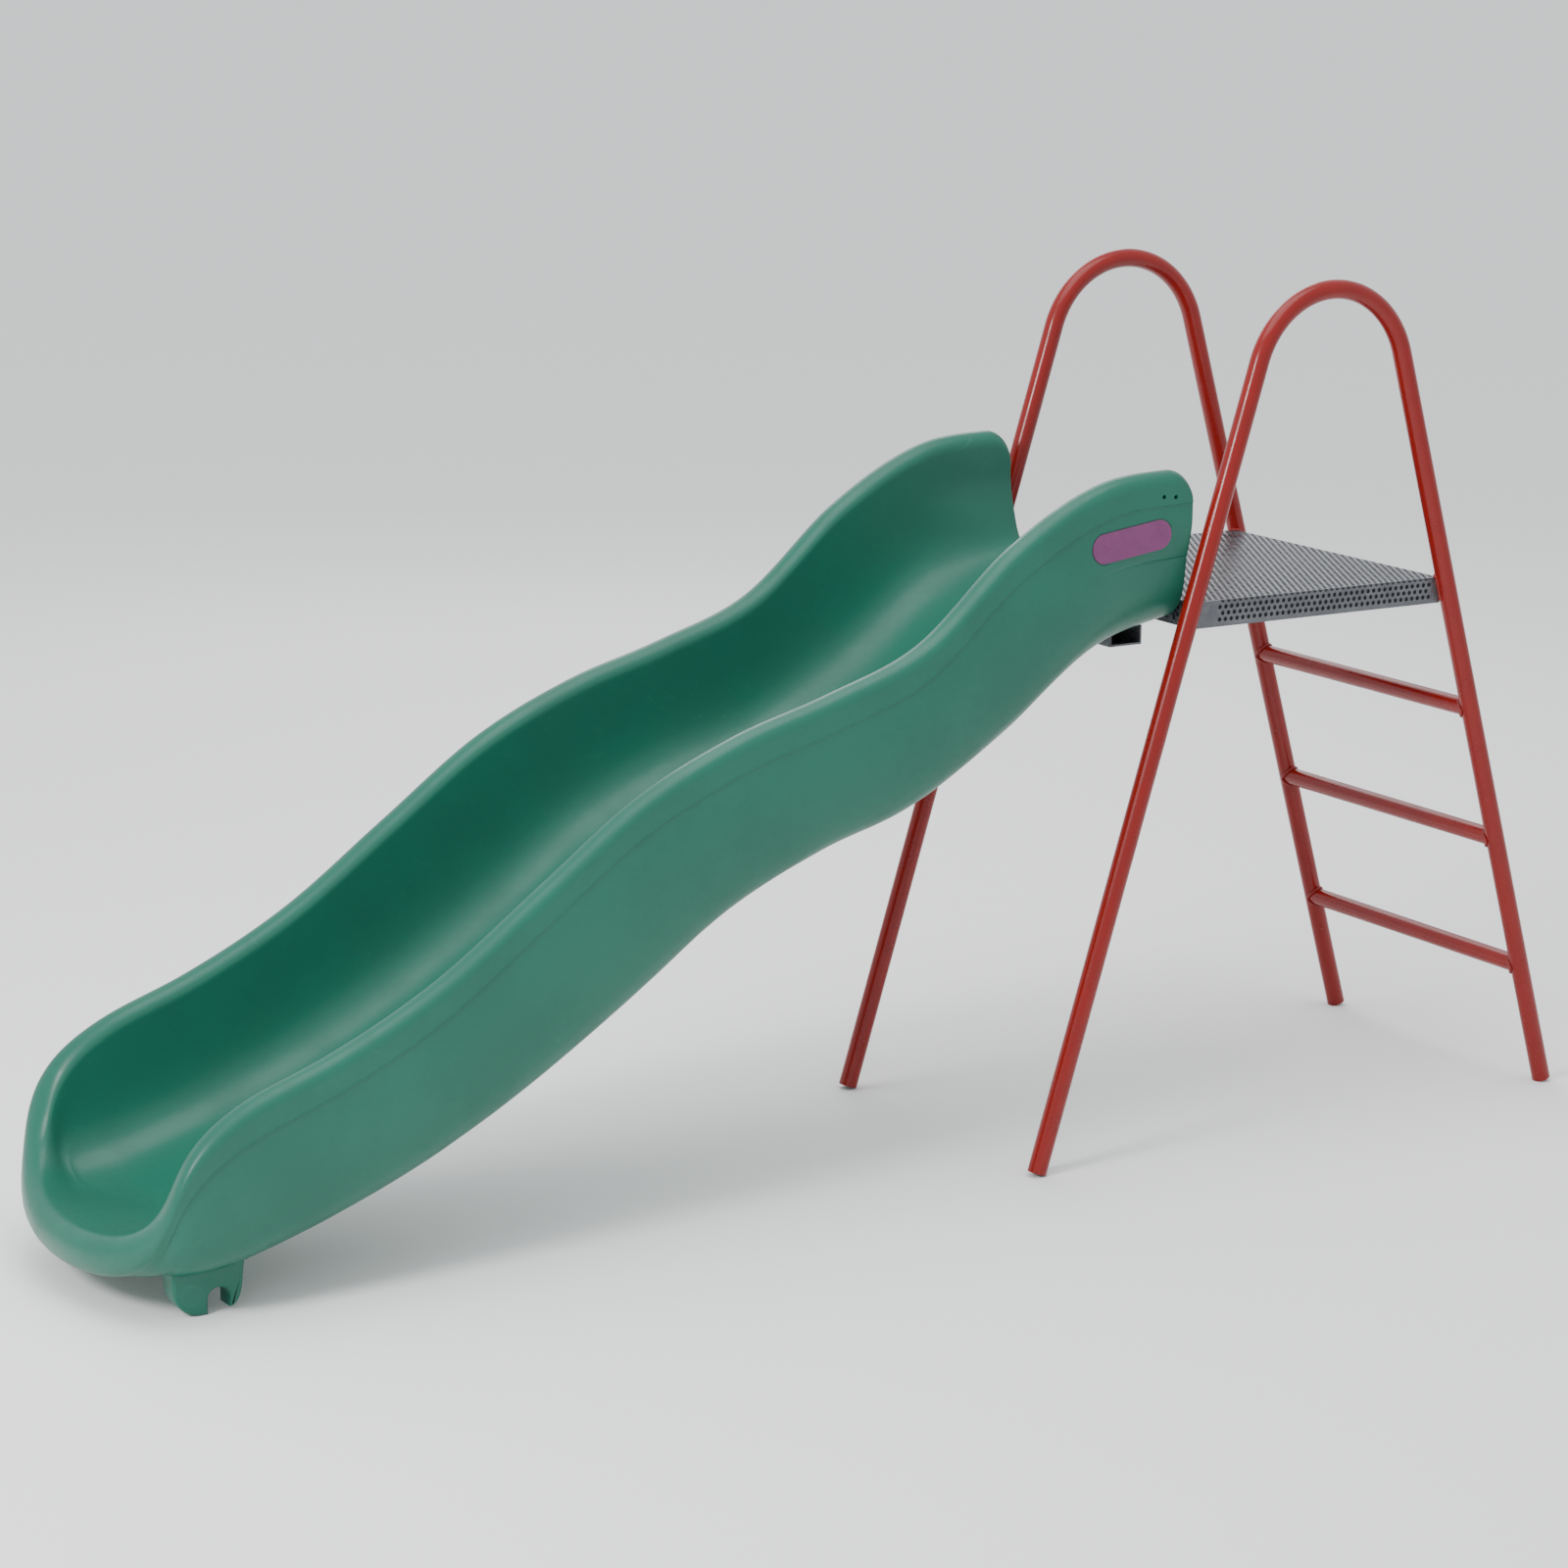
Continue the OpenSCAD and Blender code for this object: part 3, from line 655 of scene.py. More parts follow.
@dataclass
class Chute:
    """The hollow moulded chute: a waved trough with rolled rims that turns into a scooped exit lip."""

    plan: Plan
    half_width: float = 0.302
    rim_r: float = 0.028
    exit_z: float = 0.118
    floor_t: float = 0.050
    floor_step: float = 0.001
    corner_r: float = 0.050
    floor_pull: float = 0.95
    belly_pull: float = 1.05
    waist_share: float = 0.052
    waist_from: float = 0.045
    waist_len: float = 0.200
    waist_top: float = 0.35
    waist_fade: float = 0.40
    ease_lines: float = 5.0
    ease_fade: int = 14
    ease_reach: float = 0.0145
    ease_edge: float = 0.22
    tip_ease: float = 0.6
    wall_pull: float = 0.9
    lip_pull: float = 0.4
    lip_step: float = 0.007
    floor_line: tuple[float, ...] = (
        1, 0.943, 0.794, 0.679, 0.615, 0.522, 0.378, 0.248, 0.142, 0.062, 0
    )
    wall_line: tuple[float, ...] = (
        0.260, 0.296, 0.338, 0.284, 0.271, 0.303, 0.353, 0.339, 0.301, 0.278, 0.268
    )
    turn_line: tuple[tuple[float, float, float], ...] = (
        (0, 1, 1), (0.50, 1, 0.70), (0.62, 0.93, 0.30), (0.84, 0.62, 0.05), (1, 0, 0)
    )
    stations: int = 150
    corner_stations: int = 9
    turn_steps: int = 40
    skin_points: int = 80
    roll_points: int = 61
    edge_back: tuple[float, ...] = (0.0, 0.0008, 0.0030)
    edge_draw: tuple[float, ...] = (0.0028, 0.0008)
    edge_clear: float = 0.004
    parting_d: float = 0.080
    parting_step: float = 0.0022
    parting_w: float = 0.0016
    parting_from: float = 0.010
    parting_fade: float = 0.070
    parting_least: float = 0.35
    ridge_share: float = 0.35
    ridge_w: float = 0.0010
    seam_d: float = 0.188
    seam_depth: float = 0.0016
    seam_w: float = 0.0016
    seam_reach: float = 0.300
    line_gaps: tuple[float, ...] = (-0.0040, -0.0017, -0.0008, 0.0, 0.0008, 0.0017, 0.0040)
    seam_spread: float = 1.2
    between_gap: float = 0.009

    def floor_z(self, x: np.ndarray) -> np.ndarray:
        """Height of the chute's floor: its share of the whole drop, from a smooth curve along the run."""
        u = (self.plan.back_x - x) / self.plan.slide_run * (len(self.floor_line) - 1)
        top = self.plan.deck_z + self.floor_step
        return self.exit_z + (top - self.exit_z) * smooth_curve(self.floor_line, u)

    def corner_drop(self, x: np.ndarray) -> np.ndarray:
        """How far the rim rounds off near the back end: a quarter circle in side view."""
        left = self.corner_r - np.clip(self.plan.back_x - x, 0, self.corner_r)
        return self.corner_r - np.sqrt(self.corner_r**2 - left**2)

    def rim_z(self, x: np.ndarray) -> np.ndarray:
        """Height of the rim's crown: the floor plus the wall's height, less the rounded corner."""
        u = (self.plan.back_x - x) / self.plan.slide_run * (len(self.wall_line) - 1)
        return self.floor_z(x) + smooth_curve(self.wall_line, u) - self.corner_drop(x)

    def half_sections(
        self, reach: np.ndarray | float, rim: np.ndarray, roll_r: np.ndarray | float,
        floor_at: np.ndarray | float, belly_at: np.ndarray | float, tip: np.ndarray,
    ) -> tuple[np.ndarray, int]:
        """Half sections from the floor's middle over the rolled rim to the belly's middle.

        The inner skin is a cubic from the floor to the roll, the roll an arc from angle
        180 - 90 tip down to -90 tip degrees, and the outer skin a cubic on to the belly.

        Args:
            reach, rim: arrays (n,), the roll's centre across and up.
            roll_r: array (n,) of its radius.
            floor_at, belly_at: heights of the two skins at the middle.
            tip: array (n,), 0 on an upright wall and 1 on the flat lip.

        Returns:
            Array (n, m, 2) of points, and the number of the roll's crown among them.
        """
        reach, rim, roll_r, floor_at, belly_at, tip = np.broadcast_arrays(
            reach, rim, roll_r, floor_at, belly_at, tip
        )
        inner, outer = np.pi - np.pi / 2 * tip, -np.pi / 2 * tip
        ease = 1 - self.tip_ease * tip**3
        in_end = np.stack([reach + roll_r * np.cos(inner), rim + roll_r * np.sin(inner)], -1)
        out_end = np.stack([reach + roll_r * np.cos(outer), rim + roll_r * np.sin(outer)], -1)
        rise, drop = in_end[:, 1] - floor_at, out_end[:, 1] - belly_at
        zero = 0 * reach
        upright = np.cos(inner) ** 2
        in_reach = self.wall_pull * (rise * upright + in_end[:, 0] * ease * (1 - upright))
        in_reach = np.minimum(in_reach, rise / np.maximum(-np.cos(inner), 1e-3))
        out_reach = self.belly_pull * np.maximum(drop, 0) * upright
        out_reach = out_reach + self.lip_pull * out_end[:, 0] * (1 - upright)
        t = np.linspace(0, 1, self.skin_points)
        inner_skin = cubic(
            np.stack([zero, floor_at], -1),
            np.stack([in_end[:, 0] * self.floor_pull * ease, floor_at], -1),
            in_end - np.stack([np.sin(inner), -np.cos(inner)], -1) * in_reach[:, None],
            in_end, t[:-1],
        )
        angle = inner[:, None] + (outer - inner)[:, None] * np.linspace(0, 1, self.roll_points)[None]
        roll = np.stack([
            reach[:, None] + roll_r[:, None] * np.cos(angle), rim[:, None] + roll_r[:, None] * np.sin(angle)
        ], -1)
        outer_skin = cubic(
            out_end,
            out_end - np.stack([-np.sin(outer), np.cos(outer)], -1) * out_reach[:, None],
            np.stack([out_end[:, 0] * self.belly_pull * ease, belly_at], -1),
            np.stack([zero, belly_at], -1), t[1:],
        )
        return np.concatenate([inner_skin, roll, outer_skin], 1), inner_skin.shape[1] + self.roll_points // 2

    @staticmethod
    def along(curves: np.ndarray, wanted: np.ndarray) -> np.ndarray:
        """Points at wanted distances along each of several curves, by straight steps between points.

        Args:
            curves: array (n, m, 2).
            wanted: array (n, q) of distances from each curve's start.

        Returns:
            Array (n, q, 2).
        """
        steps = np.linalg.norm(np.diff(curves, axis=1), axis=-1)
        gone = np.concatenate([np.zeros((len(curves), 1)), np.cumsum(steps, 1)], 1)
        i = np.clip((gone[:, None, :] <= wanted[:, :, None]).sum(-1) - 1, 0, curves.shape[1] - 2)
        row = np.arange(len(curves))[:, None]
        t = ((wanted - gone[row, i]) / np.maximum(steps[row, i], 1e-9))[..., None]
        return curves[row, i] * (1 - t) + curves[row, i + 1] * t

    @staticmethod
    def length(curves: np.ndarray) -> np.ndarray:
        """Length of each curve of an array (n, m, 2)."""
        return np.linalg.norm(np.diff(curves, axis=1), axis=-1).sum(1)

    def rows(self, total: np.ndarray, parting: np.ndarray, seam: np.ndarray) -> np.ndarray:
        """Distances from the crown at which each half section has its points.

        They crowd together round the parting line and the lower seam, so that both are real
        steps in the surface, and spread out over the belly.

        Args:
            total: array (n,), length from the crown to the belly's middle.
            parting: array (n,), distance of the parting line.
            seam: array (n,), distance of the lower seam.

        Returns:
            Array (n, q) of rising distances.
        """
        gaps = np.array(self.line_gaps)[None]
        at_parting, at_seam = gaps[0, -1], gaps[0, -1] * self.seam_spread
        p, s, t = parting[:, None], seam[:, None], total[:, None]
        return np.concatenate([
            (p - at_parting) * np.linspace(0, 1, 15)[None, :-1],
            p + gaps,
            p + at_parting + (s - p - self.between_gap) * np.linspace(0, 1, 9)[None, 1:-1],
            s + gaps * self.seam_spread,
            s + at_seam + (t - s - at_seam) * np.linspace(0, 1, 26)[None, 1:],
        ], 1)

    def dressed(
        self, sections: np.ndarray, crown: int, parting: np.ndarray, seam: np.ndarray,
        parting_share: np.ndarray, seam_share: np.ndarray,
    ) -> np.ndarray:
        """Half sections with even rows, the parting line's step and the lower seam's groove.

        The wall below the parting line is moved in by a step that dies away further down, and the
        seam is a groove whose depth falls off as a bell curve to both sides.

        Args:
            sections: array (n, m, 2) of smooth half sections.
            crown: number of the crown point in each.
            parting, seam: arrays (n,), distances of both lines from the crown.
            parting_share, seam_share: arrays (n,), how strong each is.

        Returns:
            Array (n, 2 q - 1, 2) from the floor's middle over the crown to the belly's middle.
        """
        outer, inner = sections[:, crown:], sections[:, crown::-1]
        wanted = self.rows(self.length(outer), parting, seam)
        share = wanted / wanted[:, -1:]
        out, back = self.along(outer, wanted), self.along(inner, share * self.length(inner)[:, None])
        below = wanted - parting[:, None]
        step = soft_step(below / self.parting_w + 0.5)
        step = step * (1 - soft_step((below - self.parting_from) / self.parting_fade))
        ridge = self.ridge_share * np.exp(-((below / self.ridge_w) ** 2))
        groove = np.exp(-(((wanted - seam[:, None]) / self.seam_w) ** 2))
        inwards = self.parting_step * (step - ridge) * parting_share[:, None]
        inwards = inwards + self.seam_depth * groove * seam_share[:, None]
        out = out - left_normals(out) * inwards[..., None]
        return np.concatenate([back[:, :0:-1], out], 1)

    def roll_y(self, z: float) -> float:
        """How far out the rim's roll is at a height, near the back end."""
        top = self.plan.deck_z + self.floor_step + self.wall_line[0] - self.rim_r
        return self.half_width + math.sqrt(max(self.rim_r**2 - (z - top) ** 2, 0.0))

    def waist(self, x: np.ndarray, z: np.ndarray) -> np.ndarray:
        """Share by which the section narrows near the back end, low down, to pass inside the legs.

        It is full over the first stretch from the back end and over the lower half of the wall,
        and dies away smoothly forwards and upwards.
        """
        top = self.plan.deck_z + self.floor_step + self.wall_line[0]
        near_end = 1 - soft_step((self.plan.back_x - x - self.waist_from) / self.waist_len)
        low = soft_step(((top - z) / self.wall_line[0] - self.waist_top) / self.waist_fade)
        return self.waist_share * near_end * low

    def body_rings(self) -> np.ndarray:
        """Closed rings of the trough from the back end to the exit turn, as an array (n, m, 3).

        The first rings are drawn in a little, which rounds the edge of the back face.
        """
        plan = self.plan
        turn = 1 - np.cos(np.linspace(0, np.pi / 2, self.corner_stations, endpoint=False))
        corner = turn[1:] * self.corner_r
        run = self.corner_r + (plan.slide_run - self.corner_r) * np.linspace(0, 1, self.stations)
        back = np.concatenate([self.edge_back, corner[corner > self.edge_clear], run])
        x = plan.back_x - back
        drop = self.corner_drop(x)
        sections, crown = self.half_sections(
            self.half_width, self.rim_z(x) - self.rim_r, self.rim_r, self.floor_z(x),
            self.floor_z(x) - self.floor_t, 0 * x,
        )
        fade = 1 - soft_step(back / self.seam_reach)
        half = self.dressed(sections, crown, self.parting_d - drop, self.seam_d - drop, 1 + 0 * x, fade)
        draw = np.zeros(len(x))
        draw[: len(self.edge_draw)] = self.edge_draw
        half = half - left_normals(half) * draw[:, None, None]
        half[:, 0, 0] = half[:, -1, 0] = 0
        y = np.concatenate([-half[..., 0], half[:, -2:0:-1, 0]], 1)
        z = np.concatenate([half[..., 1], half[:, -2:0:-1, 1]], 1)
        return np.stack([x[:, None] + 0 * y, y * (1 - self.waist(x[:, None], z)), z], -1)

    def scoop_lines(self) -> np.ndarray:
        """Half sections of the exit scoop, fanned round the turn's pole, as an array (n, m, 3).

        The rim's centre runs along a smooth curve from the near wall round the lip to the far
        wall. As it sinks, the roll grows and tips over from an upright wall's to a flat lip's.
        """
        plan = self.plan
        half = np.linspace(0, 1, self.turn_steps + 1)[1:]
        half = np.concatenate([half, half[-2::-1]])
        side = np.concatenate([-np.ones(self.turn_steps), np.ones(self.turn_steps - 1)])
        share = smooth_curve(self.turn_line, half * (len(self.turn_line) - 1))
        at_turn = np.array([plan.turn_x])
        top = self.rim_z(at_turn)[0] - self.rim_r
        low = self.exit_z + self.lip_step - plan.lip_r
        px, py = -(plan.lip_reach + self.ease_reach) * share[:, 0], side * self.half_width * share[:, 1]
        pz = low + (top - low) * share[:, 2]
        reach = np.hypot(px, py)
        sunk = 1 - (pz - low) / (top - low)
        tip = sunk**3
        floor_at = self.floor_z(at_turn)[0]
        sections, crown = self.half_sections(
            reach, pz, self.rim_r + (plan.lip_r - self.rim_r) * sunk, floor_at, floor_at - self.floor_t, tip
        )
        one = np.ones(len(px))
        half_points = self.dressed(
            sections, crown, self.parting_d * one, self.seam_d * one,
            np.clip(1 - tip, self.parting_least, 1), 0 * one,
        )
        out = half_points[..., :1]
        aim = np.stack([px / reach, py / reach], -1)[:, None, :]
        return np.concatenate([np.array([plan.turn_x, 0.0]) + out * aim, half_points[..., 1:]], -1)

    def eased(self, rings: np.ndarray, fan: np.ndarray) -> tuple[np.ndarray, np.ndarray]:
        """Round off the scoop by a bell-weighted mean over neighbouring lines.

        The lines run on from the near wall through the scoop to the far wall. The mean takes over
        from the lines as they were by a share that is full in the scoop, fades out along the
        walls, and fades out towards the middle of the floor and of the belly.

        Args:
            rings: array (n, m, 3) of the trough's rings.
            fan: array (k, m / 2 + 1, 3) of the scoop's lines.

        Returns:
            Both arrays, rounded off.
        """
        n, m = rings.shape[:2]
        half = m // 2
        far = (m - np.arange(half + 1)) % m
        lines = np.concatenate([rings[:, : half + 1], fan, rings[::-1][:, far]])
        reach = int(3 * self.ease_lines)
        bell = np.exp(-0.5 * (np.arange(-reach, reach + 1) / self.ease_lines) ** 2)
        bell /= bell.sum()
        ends = np.concatenate([np.repeat(lines[:1], reach, 0), lines, np.repeat(lines[-1:], reach, 0)])
        mean = sum(w * ends[i : i + len(lines)] for i, w in enumerate(bell))
        inwards = np.arange(len(lines))
        inwards = np.minimum(inwards, len(lines) - 1 - inwards)
        along = soft_step((inwards - n + self.ease_fade) / self.ease_fade)
        across = np.arange(half + 1) / half
        across = soft_step(across / self.ease_edge) * soft_step((1 - across) / self.ease_edge)
        share = (along[:, None] * across[None])[..., None]
        lines = lines * (1 - share) + mean * share
        rings = rings.copy()
        rings[:, far] = lines[n + len(fan) :][::-1]
        rings[:, : half + 1] = lines[:n]
        return rings, lines[n : n + len(fan)]

    def shell(self) -> Surface:
        """The whole outer surface: rings, the fanned scoop and the back face, closed."""
        rings, fan = self.eased(self.body_rings(), self.scoop_lines())
        n, ring_n = rings.shape[:2]
        half = ring_n // 2
        last = (n - 1) * ring_n
        made = Surface()
        body_quads = grid_quads(n, ring_n, closed_columns=True)[:, ::-1]
        table = np.zeros((len(fan) + 2, half + 1), int)
        table[1:-1, 1:-1] = last + ring_n + np.arange(len(fan) * (half - 1)).reshape(len(fan), -1)
        table[:, 0], table[:, -1] = last, last + half
        table[0] = last + np.arange(half + 1)
        table[-1] = last + (ring_n - np.arange(half + 1)) % ring_n
        k, j = table[:-1], table[1:]
        fan_quads = np.stack([k[:, 1:-2], j[:, 1:-2], j[:, 2:-1], k[:, 2:-1]], -1).reshape(-1, 4)
        floor_pole = np.stack([k[:, 0], j[:, 1], k[:, 1]], -1)
        belly_pole = np.stack([k[:, -1], k[:, -2], j[:, -2]], -1)
        middle = half // 2
        a = np.arange(middle - 1)
        near = np.stack([a, a + 1, half - a - 1, half - a], -1)
        far = np.stack([half + a, half + a + 1, ring_n - a - 1, (ring_n - a) % ring_n], -1)
        tips = np.array([
            [middle - 1, middle, middle + 1],
            [half + middle - 1, half + middle, half + middle + 1],
        ])
        points = np.concatenate([rings.reshape(-1, 3), fan[:, 1:-1].reshape(-1, 3)])
        made.add(
            self.plan.settle(points),
            np.concatenate([body_quads, fan_quads, near, far]),
            np.concatenate([floor_pole, belly_pole, tips]),
        )
        return made


@dataclass
class Nameplate:
    """The blank plate with round ends, let into the near wall, with two domed rivets."""

    plan: Plan
    wall_y: float = -0.330
    length: float = 0.186
    width: float = 0.058
    thick: float = 0.002
    recess: float = 0.0032
    rim_gap: float = 0.0025
    behind: float = 0.143
    above_deck: float = 0.130
    tilt_deg: float = 8.0
    sides: int = 96
    rivet_sides: int = 24
    cutter_h: float = 0.03

    def outline(self, grow: float) -> np.ndarray:
        """Points round a rectangle with round ends, grown by an amount: array (sides, 2)."""
        r = self.width / 2 + grow
        flat = (self.length - self.width) / 2
        angle = np.linspace(-np.pi / 2, 1.5 * np.pi, self.sides, endpoint=False)
        return np.stack([r * np.cos(angle) + flat * np.sign(np.cos(angle)), r * np.sin(angle)], -1)

    def stand(self, points: np.ndarray) -> np.ndarray:
        """Carry points from the plate's own plane, whose Z is out of the wall, to the wall."""
        tilt = math.radians(self.tilt_deg)
        u = points[..., 0] * math.cos(tilt) - points[..., 1] * math.sin(tilt)
        v = points[..., 0] * math.sin(tilt) + points[..., 1] * math.cos(tilt)
        placed = np.stack([
            self.plan.back_x - self.behind + u,
            self.wall_y + self.recess - points[..., 2],
            self.plan.deck_z + self.above_deck + v,
        ], -1)
        return self.plan.settle(placed)

    def stack(self, levels: list[tuple[float, float]]) -> Surface:
        """A closed slab from outlines grown and raised level by level, from bottom to top.

        Args:
            levels: (grow, height) of each outline; strips from edge to edge close both ends.

        Returns:
            The surface.
        """
        sides = self.sides
        rings = np.stack([
            np.concatenate([self.outline(grow), np.full((sides, 1), z)], 1) for grow, z in levels
        ])
        made = Surface()
        made.add(self.stand(rings), grid_quads(len(levels), sides, closed_columns=True))
        left, right = 3 * sides // 4, sides // 4
        half = np.arange(1, sides // 2)
        for base, flip in ((0, True), ((len(levels) - 1) * sides, False)):
            lower, upper = base + (left - half) % sides, base + (left + half) % sides
            strip = np.stack([lower[:-1], lower[1:], upper[1:], upper[:-1]], -1)
            ends = np.array([[base + left, lower[0], upper[0]], [lower[-1], base + right, upper[-1]]])
            made.quads.append(strip if flip else strip[:, ::-1])
            made.triangles.append(ends if flip else ends[:, ::-1])
        return made

    def cutter(self) -> bpy.types.Mesh:
        """The closed shape that makes the plate's recess in the wall."""
        return self.stack([(self.rim_gap, 0.0), (self.rim_gap, self.cutter_h)]).mesh("recess_tool")

    def plate(self) -> bpy.types.Mesh:
        """The plate itself, with rounded edges and a faint raised border round its face."""
        t = self.thick
        return self.stack([
            (-0.0004, 0.0), (0.0, 0.0004), (0.0, t - 0.0007), (-0.0003, t - 0.0002), (-0.0010, t),
            (-0.0026, t), (-0.0034, t - 0.0004), (-0.0060, t - 0.0004), (-0.0160, t - 0.0003),
        ]).mesh("nameplate_form")

    def rivets(self) -> bpy.types.Mesh:
        """Two domed rivet heads with their shanks: a profile turned round each rivet's axis."""
        profile = np.array([
            [0.0, -0.0070], [0.0018, -0.0070], [0.0020, -0.0066], [0.0020, 0.0], [0.0043, 0.0],
            [0.0045, 0.0003], [0.0042, 0.0009], [0.0034, 0.0013], [0.0018, 0.0015], [0.0, 0.00152],
        ])
        profile[0, 0] = profile[-1, 0] = 1e-5
        made = Surface()
        for end in (-1, 1):
            middle = np.array([end * (self.length - self.width) / 2, 0, self.thick - 0.0004])
            points = turned(profile, self.rivet_sides) + middle
            made.add(
                self.stand(points), grid_quads(len(profile), self.rivet_sides, closed_columns=True),
                end_caps(self.rivet_sides, len(profile)),
            )
        return made.mesh("plate_rivet_heads")


@dataclass
class ExitFeet:
    """The two notched feet that hold the exit on its ground bar."""

    plan: Plan
    foot_y: float = 0.228
    length: float = 0.134
    thick: float = 0.046
    top_z: float = 0.096
    heel_h: float = 0.060
    heel_w: float = 0.052
    toe_w: float = 0.022
    toe_rise: float = 0.008
    notch_r: float = 0.0205
    notch_h: float = 0.046
    edge_r: float = 0.006
    flare: float = 0.010
    root_share: float = 0.3
    root_drop: float = 0.010
    foot_ahead: float = 0.024
    notch_offset: float = 0.020
    side_z: tuple[float, ...] = (0.0, 0.008, 0.016)

    def outline(self) -> np.ndarray:
        """Side outline of a foot, as an array (n, 2) of X and Z, turning round from the top behind the heel.

        The heel and the toe are quarter ellipses, and the notch between them is a half circle on
        two upright sides.
        """
        mid = self.plan.turn_x - self.foot_ahead
        notch = mid + self.notch_offset
        back, front = mid - self.length / 2, mid + self.length / 2
        down = np.radians(np.linspace(0, 90, 14))
        heel = np.stack([back + self.heel_w * (1 - np.cos(down)), self.heel_h * (1 - np.sin(down))], -1)
        toe = np.stack([
            front - self.toe_w * (1 - np.cos(down[::-1])),
            self.heel_h - (self.heel_h - self.toe_rise) * np.sin(down[::-1]),
        ], -1)
        arc = np.radians(np.linspace(180, 0, 22))
        arch = np.stack([
            notch + self.notch_r * np.cos(arc), self.notch_h - self.notch_r + self.notch_r * np.sin(arc)
        ], -1)
        left = np.array([[notch - self.notch_r, z] for z in self.side_z])
        slope = self.toe_rise / (self.length / 2 - self.toe_w - self.notch_offset)
        right = np.array([[notch + self.notch_r, z] for z in (self.side_z[-1], slope * self.notch_r + 0.001)])
        root_z, share = self.top_z - self.root_drop, self.flare * self.root_share
        root = np.array([[front + share, root_z], [front + self.flare, self.top_z]])
        root_back = np.array([[back - self.flare, self.top_z], [back - share, root_z]])
        return np.concatenate([root_back, heel, left, arch, right, toe, root])

    def mesh(self, side: Side) -> bpy.types.Mesh:
        """One foot: its outline carried across, with both edges rounded off.

        Near each side face the outline is moved in along its own normals by r (1 - cos a), at a
        depth of r (1 - sin a) from the face, as a runs from 0 to 90 degrees.

        Args:
            side: which foot.

        Returns:
            The mesh.
        """
        line = self.outline()
        turn = np.roll(line, -1, 0) - np.roll(line, 1, 0)
        turn /= np.linalg.norm(turn, axis=1, keepdims=True)
        inward = np.stack([-turn[:, 1], turn[:, 0]], -1)
        a = np.radians([90, 67.5, 45, 22.5, 0])
        draw, depth = self.edge_r * (1 - np.cos(a)), self.edge_r * (1 - np.sin(a))
        draw = np.concatenate([draw, draw[::-1]])
        y = np.concatenate([depth - self.thick / 2, self.thick / 2 - depth[::-1]])
        rings = line[None] + inward[None] * draw[:, None, None]
        across = np.broadcast_to(y[:, None], rings.shape[:2]) + side.value * self.foot_y
        points = np.stack([rings[..., 0], across, rings[..., 1]], -1)
        n = len(line)
        data = bpy.data.meshes.new(f"{side.name.lower()}_foot_form")
        quads = grid_quads(len(y), n, closed_columns=True)[:, ::-1]
        faces = quads.tolist() + [list(range(n))[::-1], list(range(n * (len(y) - 1), n * len(y)))]
        data.from_pydata(self.plan.settle(points.reshape(-1, 3)).tolist(), [], faces)
        data.update()
        data.polygons.foreach_set("use_smooth", np.ones(len(faces), bool))
        data.set_sharp_from_angle(angle=math.radians(40))
        return data


# ---------- the ladder frame ----------


def frames(path: np.ndarray, toward: np.ndarray, closed: bool = False) -> tuple[np.ndarray, np.ndarray]:
    """Directions across a path: the first leans towards a given one, the second is square to both.

    Args:
        path: array (n, 3) of centres.
        toward: array (3,) or (n, 3), the direction that the first one follows.
        closed: whether the path's end joins its start.

    Returns:
        Two arrays (n, 3) of unit directions.
    """
    run = np.roll(path, -1, 0) - np.roll(path, 1, 0) if closed else np.gradient(path, axis=0)
    run = run / np.linalg.norm(run, axis=1, keepdims=True)
    across = np.broadcast_to(toward, path.shape)
    across = across - run * (across * run).sum(1, keepdims=True)
    across = across / np.linalg.norm(across, axis=1, keepdims=True)
    return across, np.cross(run, across)


def ripple(count: int, waves: float, depth: float, seed: int) -> np.ndarray:
    """A weld bead's uneven swelling: 1 plus a sine, and seeded soft wandering.

    Args:
        count: number of points along the bead.
        waves: how many ripples it has.
        depth: how strong the ripples are.
        seed: the seed of the wandering.

    Returns:
        Array (count,) of factors near 1.
    """
    at = np.linspace(0, 2 * np.pi, count, endpoint=False)
    phase = np.random.default_rng(seed).uniform(0, 2 * np.pi, 3)
    return 1 + depth * np.sin(waves * at) + 0.05 * sum(np.sin(k * at + p) for k, p in zip((2, 3, 5), phase))


def bead(made: Surface, path: np.ndarray, toward: np.ndarray, radius: np.ndarray, sides: int = 12) -> None:
    """Add an open bead along a path: a round section whose ends are closed by fans of faces.

    Args:
        made: the surface to add to.
        path: array (n, 3) of centres.
        toward: array (3,) or (n, 3), the direction that the section follows.
        radius: array (n,), which tapers to little at both ends.
        sides: number of points round the section.
    """
    rings = sweep(path, *frames(path, toward), radius, sides)
    made.add(rings, grid_quads(len(path), sides, closed_columns=True), end_caps(sides, len(path)))


